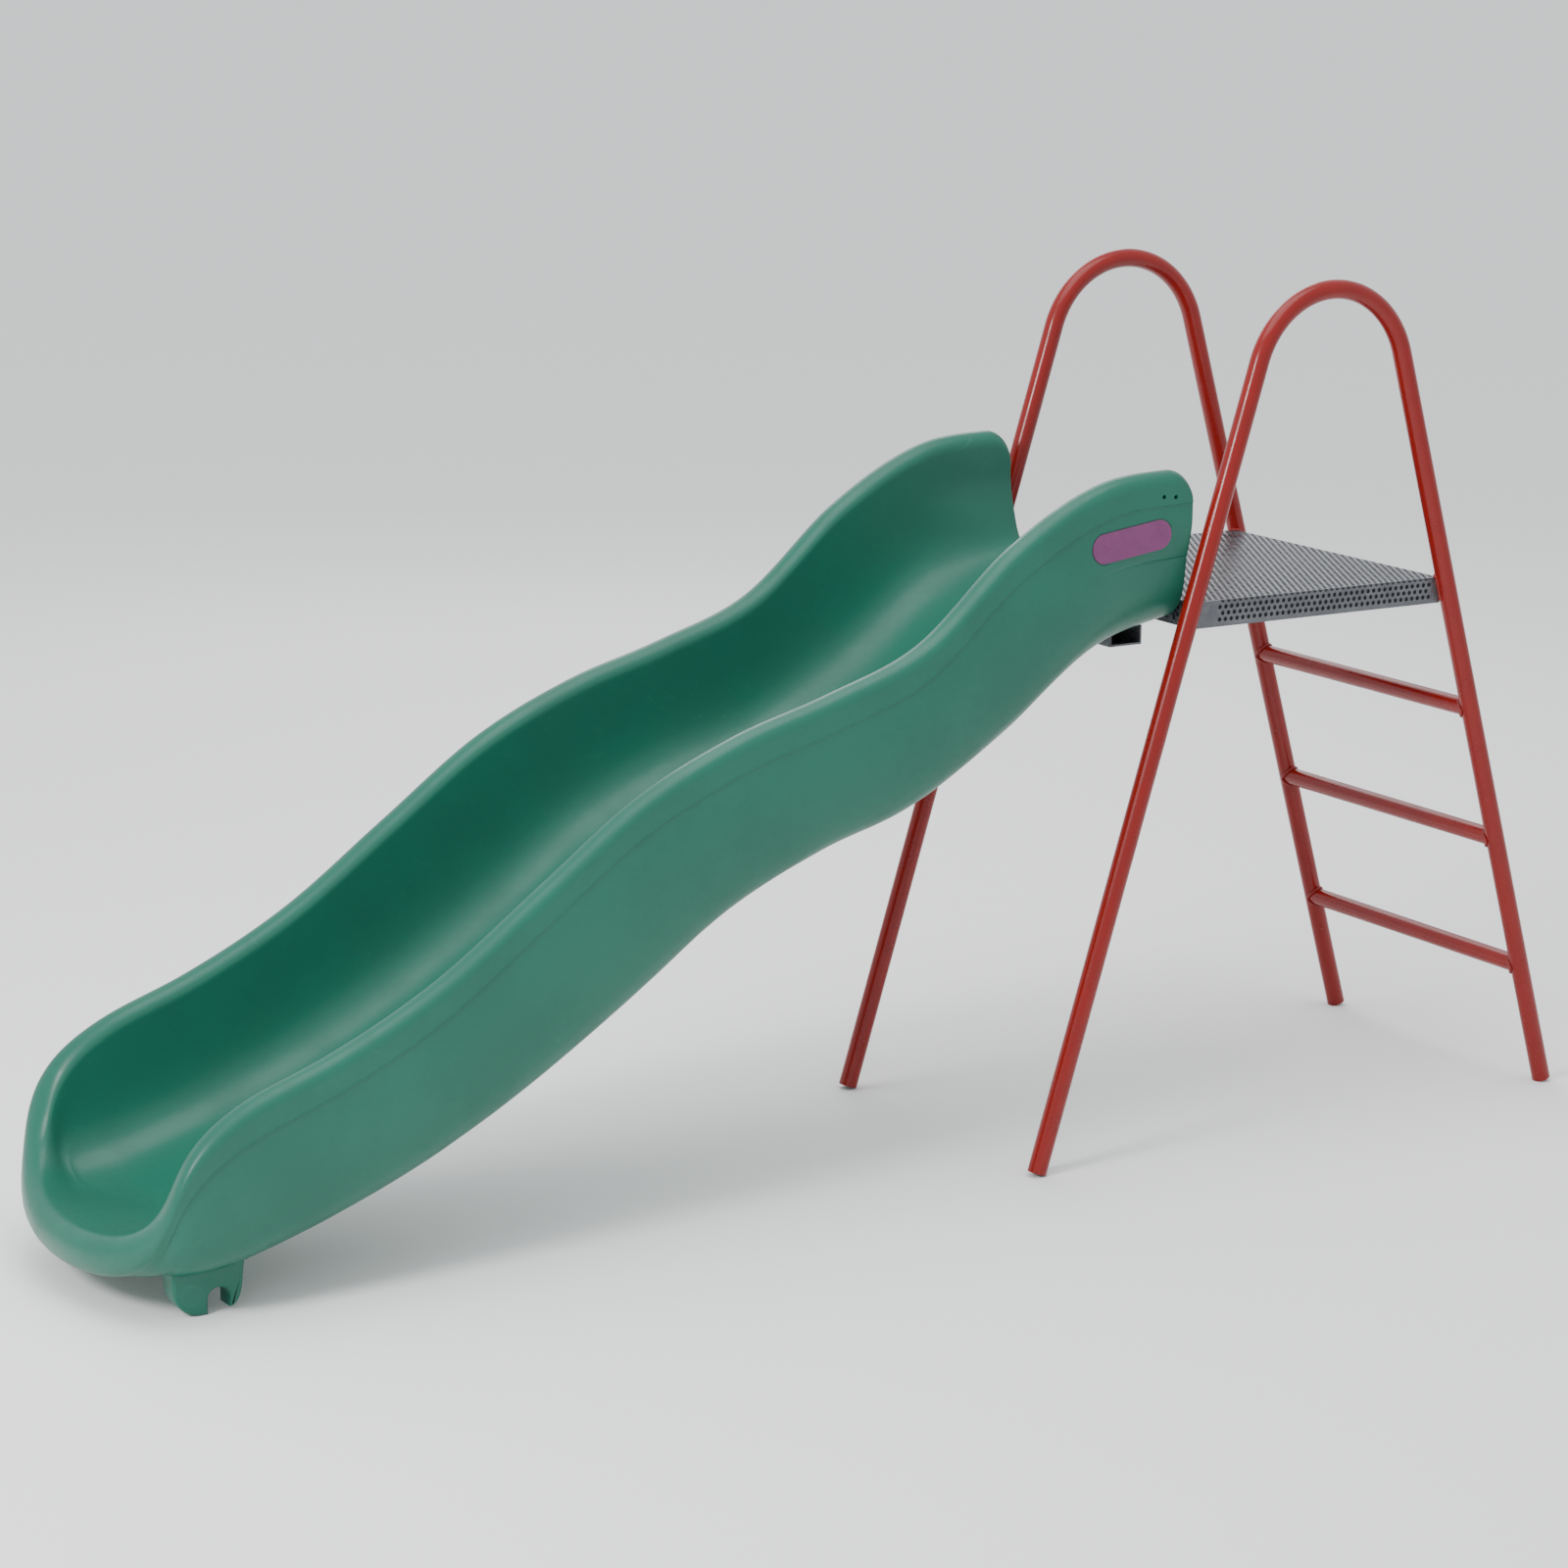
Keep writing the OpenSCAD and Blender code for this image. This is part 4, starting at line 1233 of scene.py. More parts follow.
@dataclass
class LadderFrame:
    """Two bent hoops of tube, three rungs across the ladder side and the welds that join them."""

    plan: Plan
    rung_r: float = 0.0185
    rung_z: tuple[float, ...] = (0.260, 0.540, 0.820)
    cope_r: float = 0.0178
    edge_r: float = 0.0006
    bead_r: float = 0.0034
    bead_out: float = 0.0015
    sides: int = 48
    bead_points: int = 288
    bead_sides: int = 14
    bead_waves: int = 44
    bead_depth: float = 0.07

    def axis(self) -> tuple[np.ndarray, np.ndarray]:
        """A hoop's axis in side view from the ladder foot over the bend to the slide foot.

        Returns:
            Array (n, 2) of X and Z, and array (n,) that is the radius left by the rounded ends.
        """
        plan = self.plan
        cut = plan.tube_r * math.tan(plan.lean)
        s = np.concatenate([[cut, cut + self.edge_r], np.linspace(cut + 0.01, plan.leg_len, 24)])
        leg = np.stack([plan.foot_x - s * math.sin(plan.lean), s * math.cos(plan.lean)], -1)
        a = np.linspace(plan.lean, math.pi - plan.lean, 66)[1:-1]
        bend = np.stack([plan.bend_r * np.cos(a), plan.bend_z + plan.bend_r * np.sin(a)], -1)
        line = np.concatenate([leg, bend, leg[::-1] * np.array([-1.0, 1.0])])
        outer = np.full(len(line), plan.tube_r)
        outer[[0, -1]] -= self.edge_r
        return line, outer

    def hoop(self, side: Side) -> bpy.types.Mesh:
        """One hoop: the tube's outer skin out along its axis and its bore back, joined at both ends."""
        line, outer = self.axis()
        path = np.stack([line[:, 0], np.full(len(line), side.value * self.plan.hoop_y), line[:, 1]], -1)
        across, upward = frames(path, np.array([0.0, 1.0, 0.0]))
        skin = sweep(path, across, upward, outer, self.sides)
        bore_r = np.full(len(path), self.plan.tube_r - self.plan.tube_wall)
        bore = sweep(path, across, upward, bore_r, self.sides)
        made = Surface()
        rings = np.concatenate([skin, bore[::-1]])
        made.add(self.plan.settle(rings), grid_quads(len(rings), self.sides, True, True))
        return made.mesh(f"{side.name.lower()}_hoop_tube")

    def reach(self, offset: np.ndarray, radius: float) -> np.ndarray:
        """How far out a rung goes at an offset from the leg's axis: up to a round of that radius."""
        return self.plan.hoop_y - np.sqrt(np.maximum(radius**2 - offset**2, 0))

    def rung(self, z: float, number: int) -> bpy.types.Mesh:
        """One rung: a tube across the frame whose ends are coped to the legs.

        Args:
            z: height of its axis.
            number: its number from the bottom.

        Returns:
            The mesh.
        """
        plan = self.plan
        a = np.linspace(0, 2 * np.pi, self.sides, endpoint=False)
        t = np.linspace(-1, 1, 25)[:, None]

        def skin(radius: float) -> np.ndarray:
            """The rung's round at a radius, from end to end, as an array (25, sides, 3)."""
            off, up = radius * np.cos(a), radius * np.sin(a)
            x = plan.leg_x(z) + off * math.cos(plan.lean) + up * math.sin(plan.lean)
            height = z + off * math.sin(plan.lean) - up * math.cos(plan.lean)
            y = t * self.reach(off, self.cope_r)[None]
            return np.stack([x + 0 * y, y, height + 0 * y], -1)

        rings = np.concatenate([skin(self.rung_r), skin(self.rung_r - plan.tube_wall)[::-1]])
        made = Surface()
        made.add(plan.settle(rings), grid_quads(len(rings), self.sides, True, True))
        return made.mesh(f"rung_{number}_tube")

    def welds(self) -> bpy.types.Mesh:
        """Six rippled beads, each a closed saddle where a rung meets its leg.

        The bead's centre is a little out from both tubes: at angle a round the rung it is at
        (R cos a, R sin a) from the rung's axis, and as far out as the leg's round lets it go.
        """
        plan = self.plan
        made = Surface()
        a = np.linspace(0, 2 * np.pi, self.bead_points, endpoint=False)
        ring_r, leg_r = self.rung_r + self.bead_out, plan.tube_r + self.bead_out
        square = np.array([math.cos(plan.lean), 0.0, math.sin(plan.lean)])
        along = np.array([-math.sin(plan.lean), 0.0, math.cos(plan.lean)])
        out = np.cos(a)[:, None] * square + np.sin(a)[:, None] * along
        for number, z in enumerate(self.rung_z):
            for side in Side:
                y = side.value * self.reach(ring_r * np.cos(a), leg_r)
                path = np.array([plan.leg_x(z), 0, z]) + ring_r * out + y[:, None] * np.array([0, 1.0, 0])
                seed = 10 * number + side.value + 5
                radius = self.bead_r * ripple(self.bead_points, self.bead_waves, self.bead_depth, seed)
                rings = sweep(path, *frames(path, out, True), radius, self.bead_sides)
                made.add(plan.settle(rings), grid_quads(self.bead_points, self.bead_sides, True, True))
        return made.mesh("rung_weld_beads", 80)

    def build(self, paint: bpy.types.Material) -> None:
        """Make the hoops, the rungs and their welds, in the frame's paint."""
        for side in Side:
            name = f"{side.name.lower()}_hoop"
            put(name + "_tube", self.hoop(side), paint, "frame_paint", name)
        for number, (z, word) in enumerate(zip(self.rung_z, ("bottom", "middle", "top"))):
            put(f"rung_{word}_tube", self.rung(z, number), paint, "frame_paint", f"rung_{word}")
        put("rung_weld_beads", self.welds(), paint, "frame_paint", "rung_welds")


# ---------- the deck ----------


@dataclass
class Deck:
    """A tray folded from one perforated sheet, notched around the four legs and welded to them."""

    plan: Plan
    sheet: float = 0.003
    fold_r: float = 0.004
    skirt: float = 0.050
    pitch: float = 0.0142
    row: float = 0.0123
    hole_r: float = 0.0046
    lip_w: float = 0.0010
    lip_h: float = 0.0004
    hole_sides: int = 8
    notch_r: float = 0.0197
    skirt_rows: int = 3
    liner_t: float = 0.0007
    liner_gap: float = 0.00005
    holes_from: float = -0.250
    holes_to: float = 0.282
    hole_start: float = 0.016
    side_columns: int = 26
    end_reach: float = 0.300
    leg_margin: float = 0.0030
    edge_drop: float = 0.0003
    fold_cuts: int = 4
    fold_reach: tuple[float, float] = (0.312, 0.330)
    notch_deg: tuple[float, float] = (74.0, 20.0)
    weld_r: float = 0.0036
    weld_points: int = 240
    weld_waves: int = 34
    weld_depth: float = 0.09
    weld_toe: float = 0.55
    weld_toe_share: float = 0.05
    weld_end_share: float = 0.012
    weld_low: float = 0.036
    side_lift: float = 0.0008
    tube_lift: float = 0.0006
    top_lift: float = 0.0012

    @property
    def arc(self) -> float:
        """Length of a fold's arc."""
        return math.pi / 2 * self.fold_r

    @property
    def flat(self) -> np.ndarray:
        """Half sizes of the flat top, up to the folds."""
        return np.array([self.plan.deck_len, self.plan.deck_w]) / 2 - self.fold_r

    def fold(self, blank: np.ndarray, depth: np.ndarray | float) -> np.ndarray:
        """Fold points of the flat blank into the tray.

        Past a fold line a point goes round the fold's arc and then straight down. Depth moves it
        in along the sheet's own normal.

        Args:
            blank: array (n, 2) of places in the blank.
            depth: how far under the outer skin.

        Returns:
            Array (n, 3) in the shared frame.
        """
        over = np.clip(np.abs(blank) - self.flat, 0, None)
        angle = np.minimum(over / self.fold_r, np.pi / 2)
        past = np.clip(over - self.arc, 0, None)
        sign = np.sign(blank)
        bend = self.fold_r - np.asarray(depth)[..., None]
        flat = np.clip(np.abs(blank), None, self.flat) + bend * np.sin(angle)
        drop = (bend * (1 - np.cos(angle)) + past).sum(-1)
        top = self.plan.deck_z - np.asarray(depth) - drop
        return self.plan.settle(np.concatenate([sign * flat, np.broadcast_to(top, len(blank))[:, None]], -1))

    def blank_outline(self) -> np.ndarray:
        """Outline of the flat blank: a cross whose inner corners are cut round the legs."""
        plan = self.plan
        half_x, half_y = self.flat + self.arc
        reach = self.skirt - self.fold_r
        z = plan.deck_z - np.linspace(0.0, self.skirt, 8)
        side_gap = math.sqrt(self.notch_r**2 - (plan.hoop_y - plan.deck_w / 2) ** 2)
        near_x = np.minimum(plan.leg_x(z) - side_gap, plan.deck_len / 2 - self.edge_drop)
        end_gap = self.notch_r**2 - (plan.leg_x(z) - plan.deck_len / 2) ** 2
        end_y = np.minimum(plan.hoop_y - np.sqrt(np.maximum(end_gap, 0)), plan.deck_w / 2 - self.edge_drop)
        down = np.concatenate([[0.0], np.linspace(0.004, reach, 7)])
        turn = np.radians(np.linspace(*self.notch_deg, 6))
        leg = np.array([plan.leg_x(plan.deck_z), plan.hoop_y])
        notch = leg - self.notch_r * np.stack([np.cos(turn), np.sin(turn)], -1)[::-1]
        corner = np.concatenate([
            np.stack([near_x, half_y + down], -1)[::-1], notch, np.stack([half_x + down, end_y], -1)
        ])
        quarters = [
            (corner if x == y else corner[::-1]) * np.array([x, y])
            for x, y in ((1, 1), (1, -1), (-1, -1), (-1, 1))
        ]
        return np.concatenate(quarters)[::-1]

    def hole_table(self) -> tuple[np.ndarray, np.ndarray, np.ndarray]:
        """The perforation's staggered lattice, with a row on the near fold line.

        Returns:
            The place of lattice point (0, 0), the array (rows, columns, 2) of places, and the
            array (rows, columns) that is True where a hole is punched.
        """
        half_x, half_y = self.flat + self.arc / 2
        rows = np.arange(-self.skirt_rows, int(2 * half_y / self.row) + self.skirt_rows + 2)
        columns = np.arange(-self.side_columns, self.side_columns + 1)
        start = np.array([self.hole_start, -half_y])
        x = start[0] + (columns[None] + 0.5 * (rows[:, None] % 2)) * self.pitch
        y = start[1] + rows[:, None] * self.row + 0 * x
        in_skirt = np.abs(y) > self.flat[1] - self.hole_r
        slack = 0.001
        depth = self.skirt_rows * self.row + slack
        punched = np.where(
            in_skirt,
            (x > self.holes_from - slack) & (x < self.holes_to + slack) & (np.abs(y) < half_y + depth),
            (np.abs(x) < half_x + depth) & ((np.abs(x) < self.flat[0]) | (np.abs(y) < self.end_reach)),
        )
        leg = np.array([self.plan.leg_x(self.plan.deck_z), self.plan.hoop_y])
        from_leg = np.hypot(np.abs(x) - leg[0], np.abs(y) - leg[1])
        punched = punched & (from_leg > self.notch_r + self.leg_margin + self.hole_r)
        return start, np.stack([x, y], -1), punched

    def nearest_hole(self, places: np.ndarray) -> tuple[np.ndarray, np.ndarray]:
        """The lattice point nearest to each place in the blank, by rounding to its row and column.

        Args:
            places: array (n, 2).

        Returns:
            Array (n, 2) of lattice points, and array (n,) that is True where a hole is punched.
        """
        start, lattice, punched = self.hole_table()
        row = np.round((places[:, 1] - start[1]) / self.row).astype(int) + self.skirt_rows
        row = np.clip(row, 0, len(lattice) - 1)
        off = 0.5 * ((row - self.skirt_rows) % 2)
        column = np.round((places[:, 0] - start[0]) / self.pitch - off).astype(int) + self.side_columns
        column = np.clip(column, 0, lattice.shape[1] - 1)
        return lattice[row, column], punched[row, column]

    def cut_blank(self, rims: np.ndarray) -> tuple[np.ndarray, np.ndarray]:
        """Cut the flat blank into triangles that keep to its outline, the hole rims and the folds.

        Args:
            rims: array (k, sides, 2) of the points round each hole, where k may be 0.

        Returns:
            Array (n, 2) of points, and array (m, 3) of the triangles inside the outline.
        """
        outline, folds = self.blank_outline(), self.fold_lines()
        hole = np.arange(rims.size // 2).reshape(rims.shape[:2]) + len(outline)
        cuts = np.arange(len(folds)).reshape(-1, 2) + len(outline) + hole.size
        flat = np.concatenate([outline, rims.reshape(-1, 2), folds])
        edges = np.concatenate([loop_edges(np.arange(len(outline))), loop_edges(hole), cuts])
        found, _, faces, *_ = delaunay_2d_cdt(flat.tolist(), edges.tolist(), [], 0, 1e-6, False)
        points, faces = np.array([tuple(p) for p in found]), np.array(faces)
        return points, faces[self.inside(points[faces].mean(1), outline)]

    def tray(self) -> bpy.types.Mesh:
        """The tray: the punched blank cut into triangles, folded, given its thickness and its hole rims.

        Both skins share the triangles; a third ring in every hole is the coating's raised edge.
        """
        _, lattice, punched = self.hole_table()
        turn = (np.arange(self.hole_sides) + 0.5) * 2 * np.pi / self.hole_sides
        rim_r = self.hole_r + self.lip_w
        rim = rim_r * np.stack([np.cos(turn), np.sin(turn)], -1)
        points, faces = self.cut_blank(lattice[punched][:, None] + rim)
        middle = points[faces].mean(1)
        centre, is_hole = self.nearest_hole(middle)
        in_hole = is_hole & (np.hypot(*(middle - centre).T) < rim_r * math.cos(math.pi / self.hole_sides))
        log.info("deck blank: %d holes, %d triangles", punched.sum(), len(faces))
        return self.thicken(points, faces[~in_hole])

    @staticmethod
    def inside(places: np.ndarray, outline: np.ndarray) -> np.ndarray:
        """Which places lie inside an outline: a line to their right crosses it an odd number of times."""
        a, b = outline, np.roll(outline, -1, 0)
        crosses = (a[None, :, 1] > places[:, None, 1]) != (b[None, :, 1] > places[:, None, 1])
        run = b - a
        with np.errstate(divide="ignore", invalid="ignore"):
            at = a[None, :, 0] + (places[:, None, 1] - a[None, :, 1]) / run[None, :, 1] * run[None, :, 0]
        return (crosses & (places[:, None, 0] < at)).sum(1) % 2 == 1

    @staticmethod
    def tidy(points: np.ndarray, faces: np.ndarray) -> tuple[np.ndarray, np.ndarray, np.ndarray]:
        """Drop unused points, turn every triangle the same way and find the edges with one triangle.

        Args:
            points: array (n, 2).
            faces: array (m, 3).

        Returns:
            The points, the triangles and the rim edges as an array (k, 2).
        """
        used, faces = np.unique(faces, return_inverse=True)
        points, faces = points[used], faces.reshape(-1, 3)
        one, two = points[faces[:, 1]] - points[faces[:, 0]], points[faces[:, 2]] - points[faces[:, 0]]
        area = one[:, 0] * two[:, 1] - one[:, 1] * two[:, 0]
        faces = np.where(area[:, None] < 0, faces[:, ::-1], faces)
        sides = np.concatenate([faces[:, [0, 1]], faces[:, [1, 2]], faces[:, [2, 0]]])
        key = np.sort(sides, 1) @ np.array([len(points), 1])
        _, first, count = np.unique(key, return_index=True, return_counts=True)
        return points, faces, sides[first[count == 1]]

    def fold_lines(self) -> np.ndarray:
        """Ends of the lines along all four folds at which the sheet's arc is cut: array (2 n, 2)."""
        lines = []
        shares = np.linspace(0, 1, self.fold_cuts + 1)
        for axis, sign, share in ((a, s, k) for a in (0, 1) for s in (-1, 1) for k in shares):
            ends = np.full((2, 2), sign * (self.flat[axis] + share * self.arc))
            ends[:, 1 - axis] = self.fold_reach[1 - axis] * np.array([-1, 1])
            lines.append(ends)
        return np.concatenate(lines)

    @staticmethod
    def walls(rim: np.ndarray, top: int, bottom: int) -> np.ndarray:
        """Faces that join a rim on one skin to the same rim on another.

        Args:
            rim: array (k, 2) of the rim's edges, by the numbers of their points.
            top: number of the first skin's first point.
            bottom: number of the other skin's first point.

        Returns:
            Array (k, 4) of point numbers.
        """
        a, b = rim[:, 0], rim[:, 1]
        return np.stack([b + top, a + top, a + bottom, b + bottom], -1)

    def thicken(self, points: np.ndarray, faces: np.ndarray) -> bpy.types.Mesh:
        """Give the triangulated blank its two skins and its edges, and fold it.

        Args:
            points: array (n, 2) of the blank's points.
            faces: array (m, 3) of its triangles.

        Returns:
            The folded mesh.
        """
        points, faces, rim = self.tidy(points, faces)
        n = len(points)
        centre, is_hole = self.nearest_hole(points)
        away = points - centre
        gone = np.hypot(*away.T)
        at_hole = is_hole & (gone < self.hole_r + self.lip_w + 1e-5)
        shrunk = away * (1 - self.lip_w / np.maximum(gone, 1e-4))[:, None]
        pulled = np.where(at_hole[:, None], centre + shrunk, points)
        made = Surface()
        made.add(self.fold(points, 0.0), triangles=faces)
        made.add(self.fold(pulled, self.sheet - self.liner_t), triangles=faces[:, ::-1])
        made.add(self.fold(pulled, np.where(at_hole, -self.lip_h, self.edge_drop)))
        made.quads += [self.walls(rim, 0, 2 * n), self.walls(rim, 2 * n, n)]
        return made.mesh("deck_tray_form", 50)

    def liner(self) -> bpy.types.Mesh:
        """The closed inner skin behind the perforation, the unpunched blank folded and thin, near-black as
        painted shade inside the holes.
        """
        points, faces, rim = self.tidy(*self.cut_blank(np.zeros((0, self.hole_sides, 2))))
        made = Surface()
        made.add(self.fold(points, self.sheet - self.liner_t + self.liner_gap), triangles=faces)
        made.add(self.fold(points, self.sheet), triangles=faces[:, ::-1])
        made.quads.append(self.walls(rim, 0, len(points)))
        return made.mesh("deck_shade_liner", 50)

    def corner_path(self, end: End, side: Side) -> np.ndarray:
        """A weld's path at one corner: up the side skirt, round the leg on top and down the end skirt."""
        plan = self.plan
        z = np.linspace(plan.deck_z - self.skirt + 0.003, plan.deck_z - 0.001, 26)
        gap = math.sqrt(plan.tube_r**2 - (plan.hoop_y - plan.deck_w / 2) ** 2) + self.tube_lift
        up = np.stack([plan.leg_x(z) - gap, plan.deck_w / 2 + self.side_lift + 0 * z, z], -1)
        turn = np.radians(np.linspace(*self.notch_deg, 16))
        top_r = plan.tube_r + self.top_lift
        over = np.stack([
            plan.leg_x(plan.deck_z) - top_r * np.sin(turn), plan.hoop_y - top_r * np.cos(turn),
            plan.deck_z + self.top_lift + 0 * turn,
        ], -1)
        z = np.linspace(plan.deck_z - 0.001, plan.deck_z - self.weld_low, 20)
        round_y = np.sqrt(np.maximum(plan.tube_r**2 - (plan.leg_x(z) - plan.deck_len / 2) ** 2, 0))
        down = np.stack([
            plan.deck_len / 2 + self.side_lift + 0 * z, plan.hoop_y - round_y - self.tube_lift, z
        ], -1)
        return np.concatenate([up, over, down]) * np.array([end.value, side.value, 1])

    def welds(self) -> bpy.types.Mesh:
        """Four rippled beads, one at each leg, with a flared toe at the bottom of the side skirts."""
        made = Surface()
        share = np.linspace(0, 1, self.weld_points)
        toe = 1 + self.weld_toe * np.exp(-((share / self.weld_toe_share) ** 2))
        taper = np.sqrt(np.clip(np.minimum(share, 1 - share) / self.weld_end_share, 0.004, 1))
        for number, (end, side) in enumerate((e, s) for e in End for s in Side):
            path = self.corner_path(end, side)
            path = smooth_curve(path, share * (len(path) - 1))
            radius = self.weld_r * ripple(self.weld_points, self.weld_waves, self.weld_depth, 40 + number)
            toward = np.array([0.4 * end.value, 0.4 * side.value, 1.0])
            bead(made, self.plan.settle(path), toward, radius * toe * taper)
        return made.mesh("deck_weld_beads", 80)

    def build(self, coating: bpy.types.Material, hole_shade: bpy.types.Material, paint: bpy.types.Material) -> None:
        """Make the tray, its liner of painted shade behind the holes, and its welds.

        Args:
            coating: the tray's finish.
            hole_shade: the liner's finish, a near-black painted shade.
            paint: the frame's paint, which covers the welds.
        """
        put("deck_tray_form", self.tray(), coating, "deck_paint", "deck_tray")
        # The liner's near-black finish is painted shade inside the holes.
        put("deck_shade_liner", self.liner(), hole_shade, "deck_paint", "deck_tray")
        put("deck_weld_beads", self.welds(), paint, "frame_paint", "deck_welds")


# ---------- the whole slide and its surroundings ----------


@dataclass
class WaveSlide:
    """Every sub-assembly of the slide, and the finishes they wear."""

    plan: Plan
    effects: Effects
    hanger_ahead: float = 0.070
    hanger_y: float = 0.165
    insert_r: float = 0.009
    foot_insert_back: float = 0.004
    foot_socket_z: tuple[float, float] = (0.020, 0.108)
    hanger_socket_z: tuple[float, float] = (-0.030, 0.027)
    dimples: tuple[tuple[float, float], ...] = ((-0.390, 1.306), (-0.362, 1.304))
    dimple_r: float = 0.004
    dimple_depth: float = 0.0005
    socket_sides: int = 32

    def holes_tool(self) -> bpy.types.Mesh:
        """The closed shapes that make the sockets under the belly and the two dimples in the wall."""
        made = Surface()
        plan, chute = self.plan, Chute(self.plan)
        hanger_x = plan.back_x - self.hanger_ahead
        belly = float(chute.floor_z(np.array([hanger_x]))[0]) - chute.floor_t
        hanger = tuple(belly + z for z in self.hanger_socket_z)
        foot_y = ExitFeet(plan).foot_y
        sockets = [(plan.turn_x - self.foot_insert_back, s.value * foot_y, *self.foot_socket_z) for s in Side]
        sockets += [(hanger_x, s.value * self.hanger_y, *hanger) for s in Side]
        shapes = []
        for x, y, low, high in sockets:
            profile = np.array([[self.insert_r, low], [self.insert_r, high]])
            shapes.append(turned(profile, self.socket_sides) + np.array([x, y, 0]))
        for x, z in self.dimples:
            wall = chute.roll_y(z) - self.dimple_depth
            profile = np.array([[self.dimple_r, wall], [self.dimple_r * 1.1, wall + 0.02]])
            rings = turned(profile, self.socket_sides)
            shapes.append(np.stack([rings[..., 0] + x, -rings[..., 2], rings[..., 1] + z], -1))
        for rings in shapes:
            quads = grid_quads(2, self.socket_sides, closed_columns=True)
            made.add(plan.settle(rings), quads, end_caps(self.socket_sides, 2))
        return made.mesh("socket_tool")

    def build(self) -> None:
        """Make the chute, its plate and feet, the frame and the deck, and give the kept CAD parts their
        finishes.
        """
        green, red, graphite, hole_shade, purple, zinc, brass = (
            f.material(self.effects) for f in (GREEN, RED, GRAPHITE, HOLE_SHADE, PURPLE, ZINC, BRASS)
        )
        chute, plate, feet = Chute(self.plan), Nameplate(self.plan), ExitFeet(self.plan)
        body = cut_away(chute.shell().mesh("chute_shell"), plate.cutter())
        body = cut_away(body, self.holes_tool())
        body.set_sharp_from_angle(angle=math.radians(35))
        put("chute_shell", body, green, "slide_plastic", "slide_body")
        put("nameplate_form", plate.plate(), purple, "plate_plastic", "nameplate")
        put("plate_rivet_heads", plate.rivets(), purple, "plate_plastic", "plate_rivets")
        for side in Side:
            name = f"{side.name.lower()}_exit_foot"
            put(name + "_form", feet.mesh(side), green, "slide_plastic", name)
        LadderFrame(self.plan).build(red)
        Deck(self.plan).build(graphite, hole_shade, red)
        kept = {
            graphite: ("hanger_channel", "link_bracket", "deck_rib"),
            zinc: (
                "foot_screws", "hanger_bolts", "hanger_washers", "hanger_spacers",
                "link_bolts", "link_washers", "link_nuts",
            ),
            brass: ("foot_inserts", "hanger_inserts"),
        }
        for finish, names in kept.items():
            for name in names:
                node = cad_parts[name]
                node.data.materials.clear()
                node.data.materials.append(finish)
                log.info("%s: kept from the frame", name)


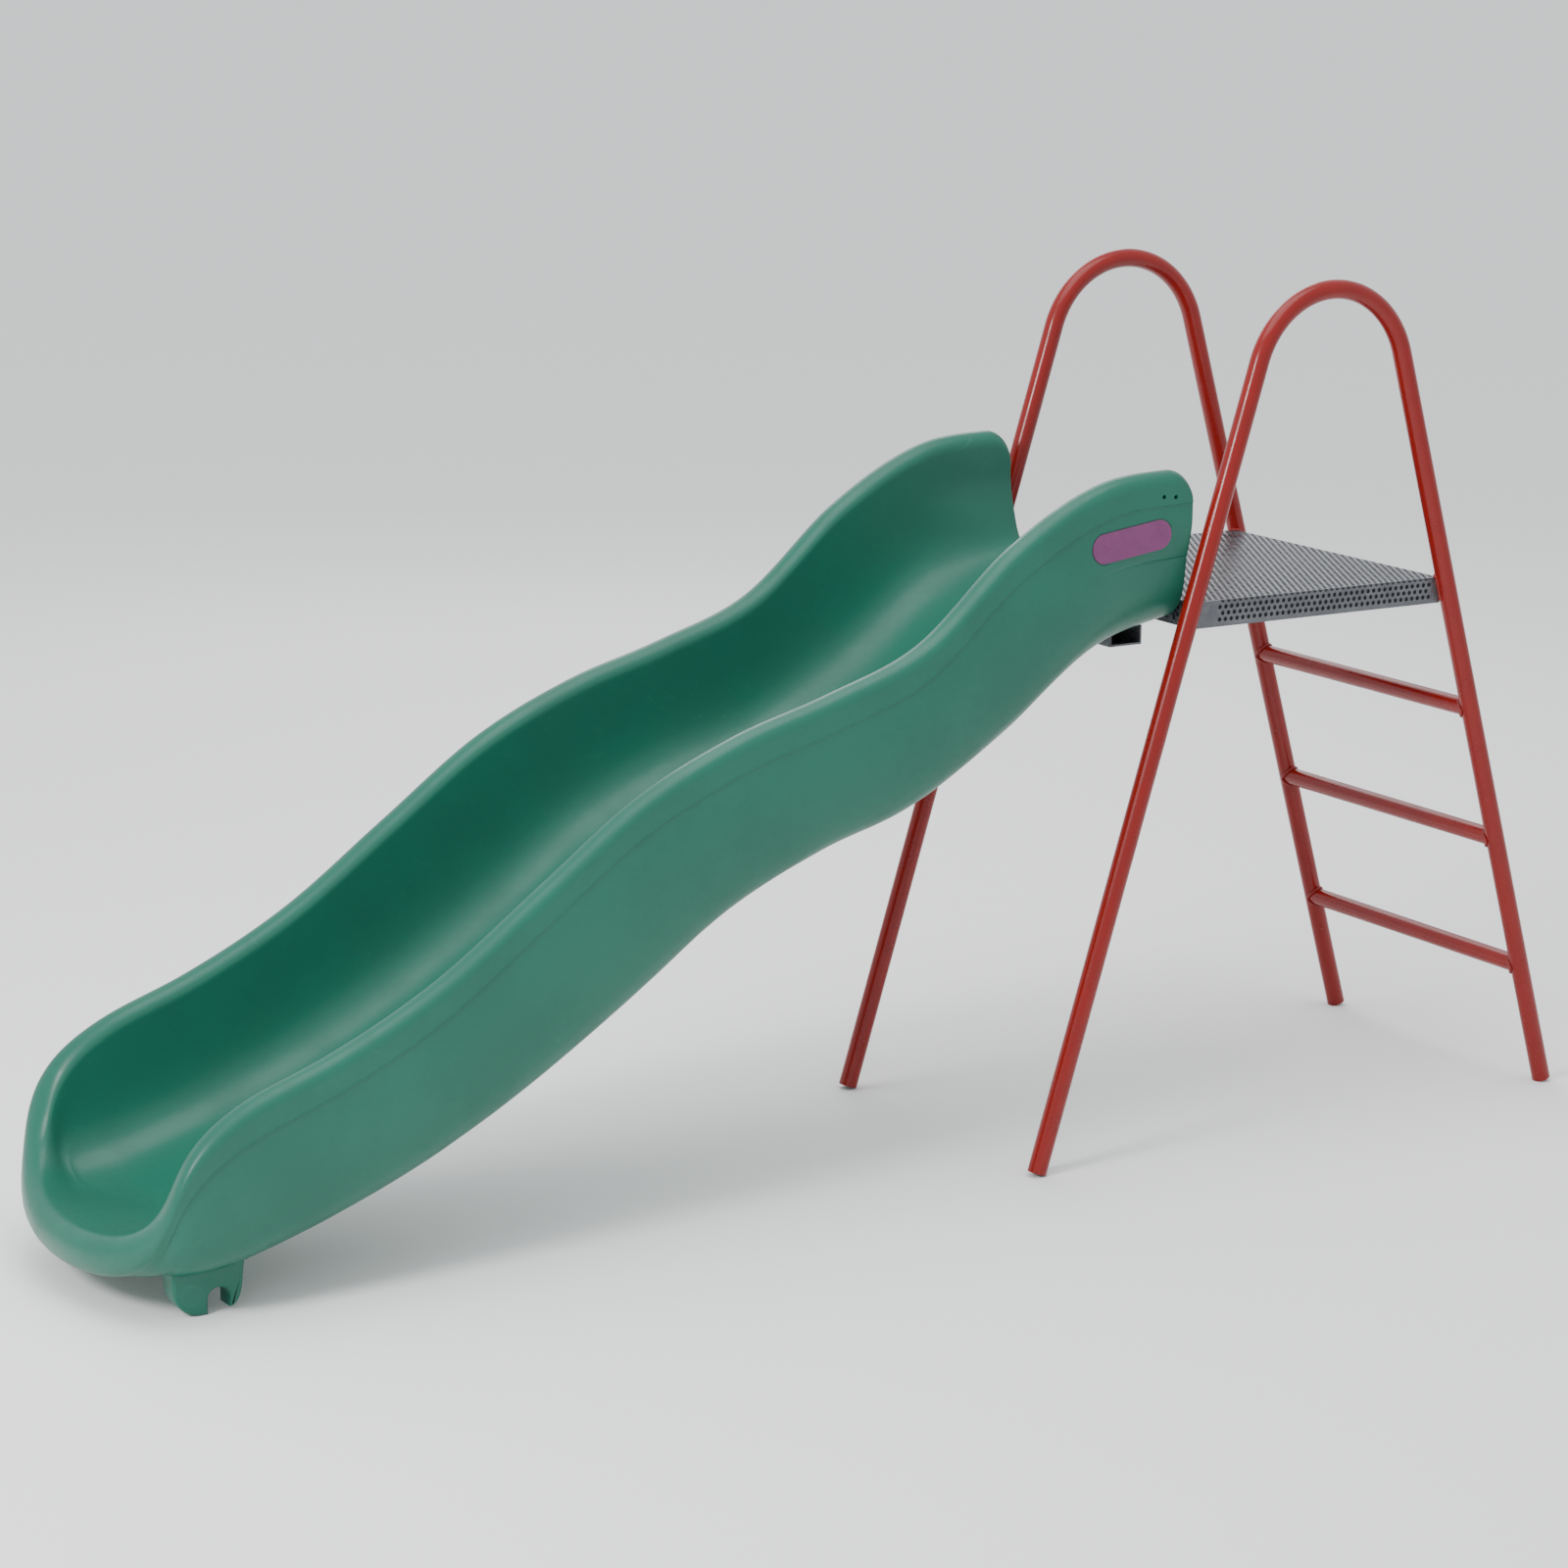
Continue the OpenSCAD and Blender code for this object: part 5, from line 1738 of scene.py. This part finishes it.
@dataclass(frozen=True)
class Studio:
    """A pale floor, a bright even surround, soft lights and the camera."""

    stand: tuple[float, float, float] = (-4.2866, -6.618, 2.525)
    yaw_deg: float = 32.389
    pitch_deg: float = 12.751
    roll_deg: float = 0.800
    lens: float = 96.435
    sensor: float = 36.0
    sight: float = 400.0
    floor_reach: float = 150.0

    def camera(self) -> None:
        """Set the camera: its matrix columns are right, up and back after the small roll."""
        yaw, pitch, roll = (math.radians(v) for v in (self.yaw_deg, self.pitch_deg, self.roll_deg))
        ahead = np.array([math.sin(yaw) * math.cos(pitch), math.cos(yaw) * math.cos(pitch), -math.sin(pitch)])
        right = np.array([math.cos(yaw), -math.sin(yaw), 0.0])
        up = np.cross(right, ahead)
        level = right * math.cos(roll) + up * math.sin(roll)
        upright = up * math.cos(roll) - right * math.sin(roll)
        data = bpy.data.cameras.new("view_camera")
        data.lens, data.sensor_width, data.clip_end = self.lens, self.sensor, self.sight
        camera = bpy.data.objects.new("view_camera", data)
        bpy.context.scene.collection.objects.link(camera)
        matrix = np.eye(4)
        matrix[:3, :3] = np.stack([level, upright, -ahead], -1)
        matrix[:3, 3] = self.stand
        camera.matrix_world = Matrix(matrix.tolist())
        bpy.context.scene.camera = camera

    def floor(self) -> None:
        """A wide plain floor with a matt pale finish."""
        data = bpy.data.meshes.new("studio_floor")
        r = self.floor_reach
        corners = [(-r, -r, 0), (r, -r, 0), (r, r, 0), (-r, r, 0)]
        data.from_pydata(corners, [], [(0, 1, 2, 3)])
        pale = bpy.data.materials.new("studio_pale")
        pale.use_nodes = True
        shader = pale.node_tree.nodes["Principled BSDF"]
        shader.inputs["Base Color"].default_value = (0.90, 0.90, 0.89, 1)
        shader.inputs["Roughness"].default_value = 0.9
        shader.inputs["Specular IOR Level"].default_value = 0.1
        data.materials.append(pale)
        ground = bpy.data.objects.new("studio_floor", data)
        bpy.context.scene.collection.objects.link(ground)

    def light(self, name: str, stand: tuple, aim: tuple, size: float, power: float) -> None:
        """One square soft light.

        Args:
            name: its name.
            stand: where it stands.
            aim: the point it faces.
            size: its width.
            power: its strength in watts.
        """
        data = bpy.data.lights.new(name, "AREA")
        data.size, data.energy = size, power
        lamp = bpy.data.objects.new(name, data)
        bpy.context.scene.collection.objects.link(lamp)
        back = np.array(stand, float) - np.array(aim, float)
        back /= np.linalg.norm(back)
        right = np.cross([0.0, 0.0, 1.0], back)
        right /= np.linalg.norm(right)
        matrix = np.eye(4)
        matrix[:3, :3] = np.stack([right, np.cross(back, right), back], -1)
        matrix[:3, 3] = stand
        lamp.matrix_world = Matrix(matrix.tolist())

    def build(self) -> None:
        """Set up everything round the slide."""
        world = bpy.data.worlds.new("studio_air")
        world.use_nodes = True
        world.node_tree.nodes["Background"].inputs["Color"].default_value = (0.95, 0.97, 1.0, 1)
        world.node_tree.nodes["Background"].inputs["Strength"].default_value = 1.15
        bpy.context.scene.world = world
        self.floor()
        self.light("overhead", (-0.5, -0.3, 5.0), (0, 0, 0.5), 4.0, 150)
        self.light("front_left", (-5.5, -1.5, 3.6), (-0.8, 0, 0.5), 1.3, 230)
        self.light("behind", (2.5, 5.0, 4.0), (0, 0, 0.6), 3.5, 90)
        self.camera()


def main() -> None:
    """Build the slide and its surroundings."""
    WaveSlide(PLAN, Effects()).build()
    Studio().build()
    bpy.context.view_layer.update()


if __name__ == "__main__":
    main()
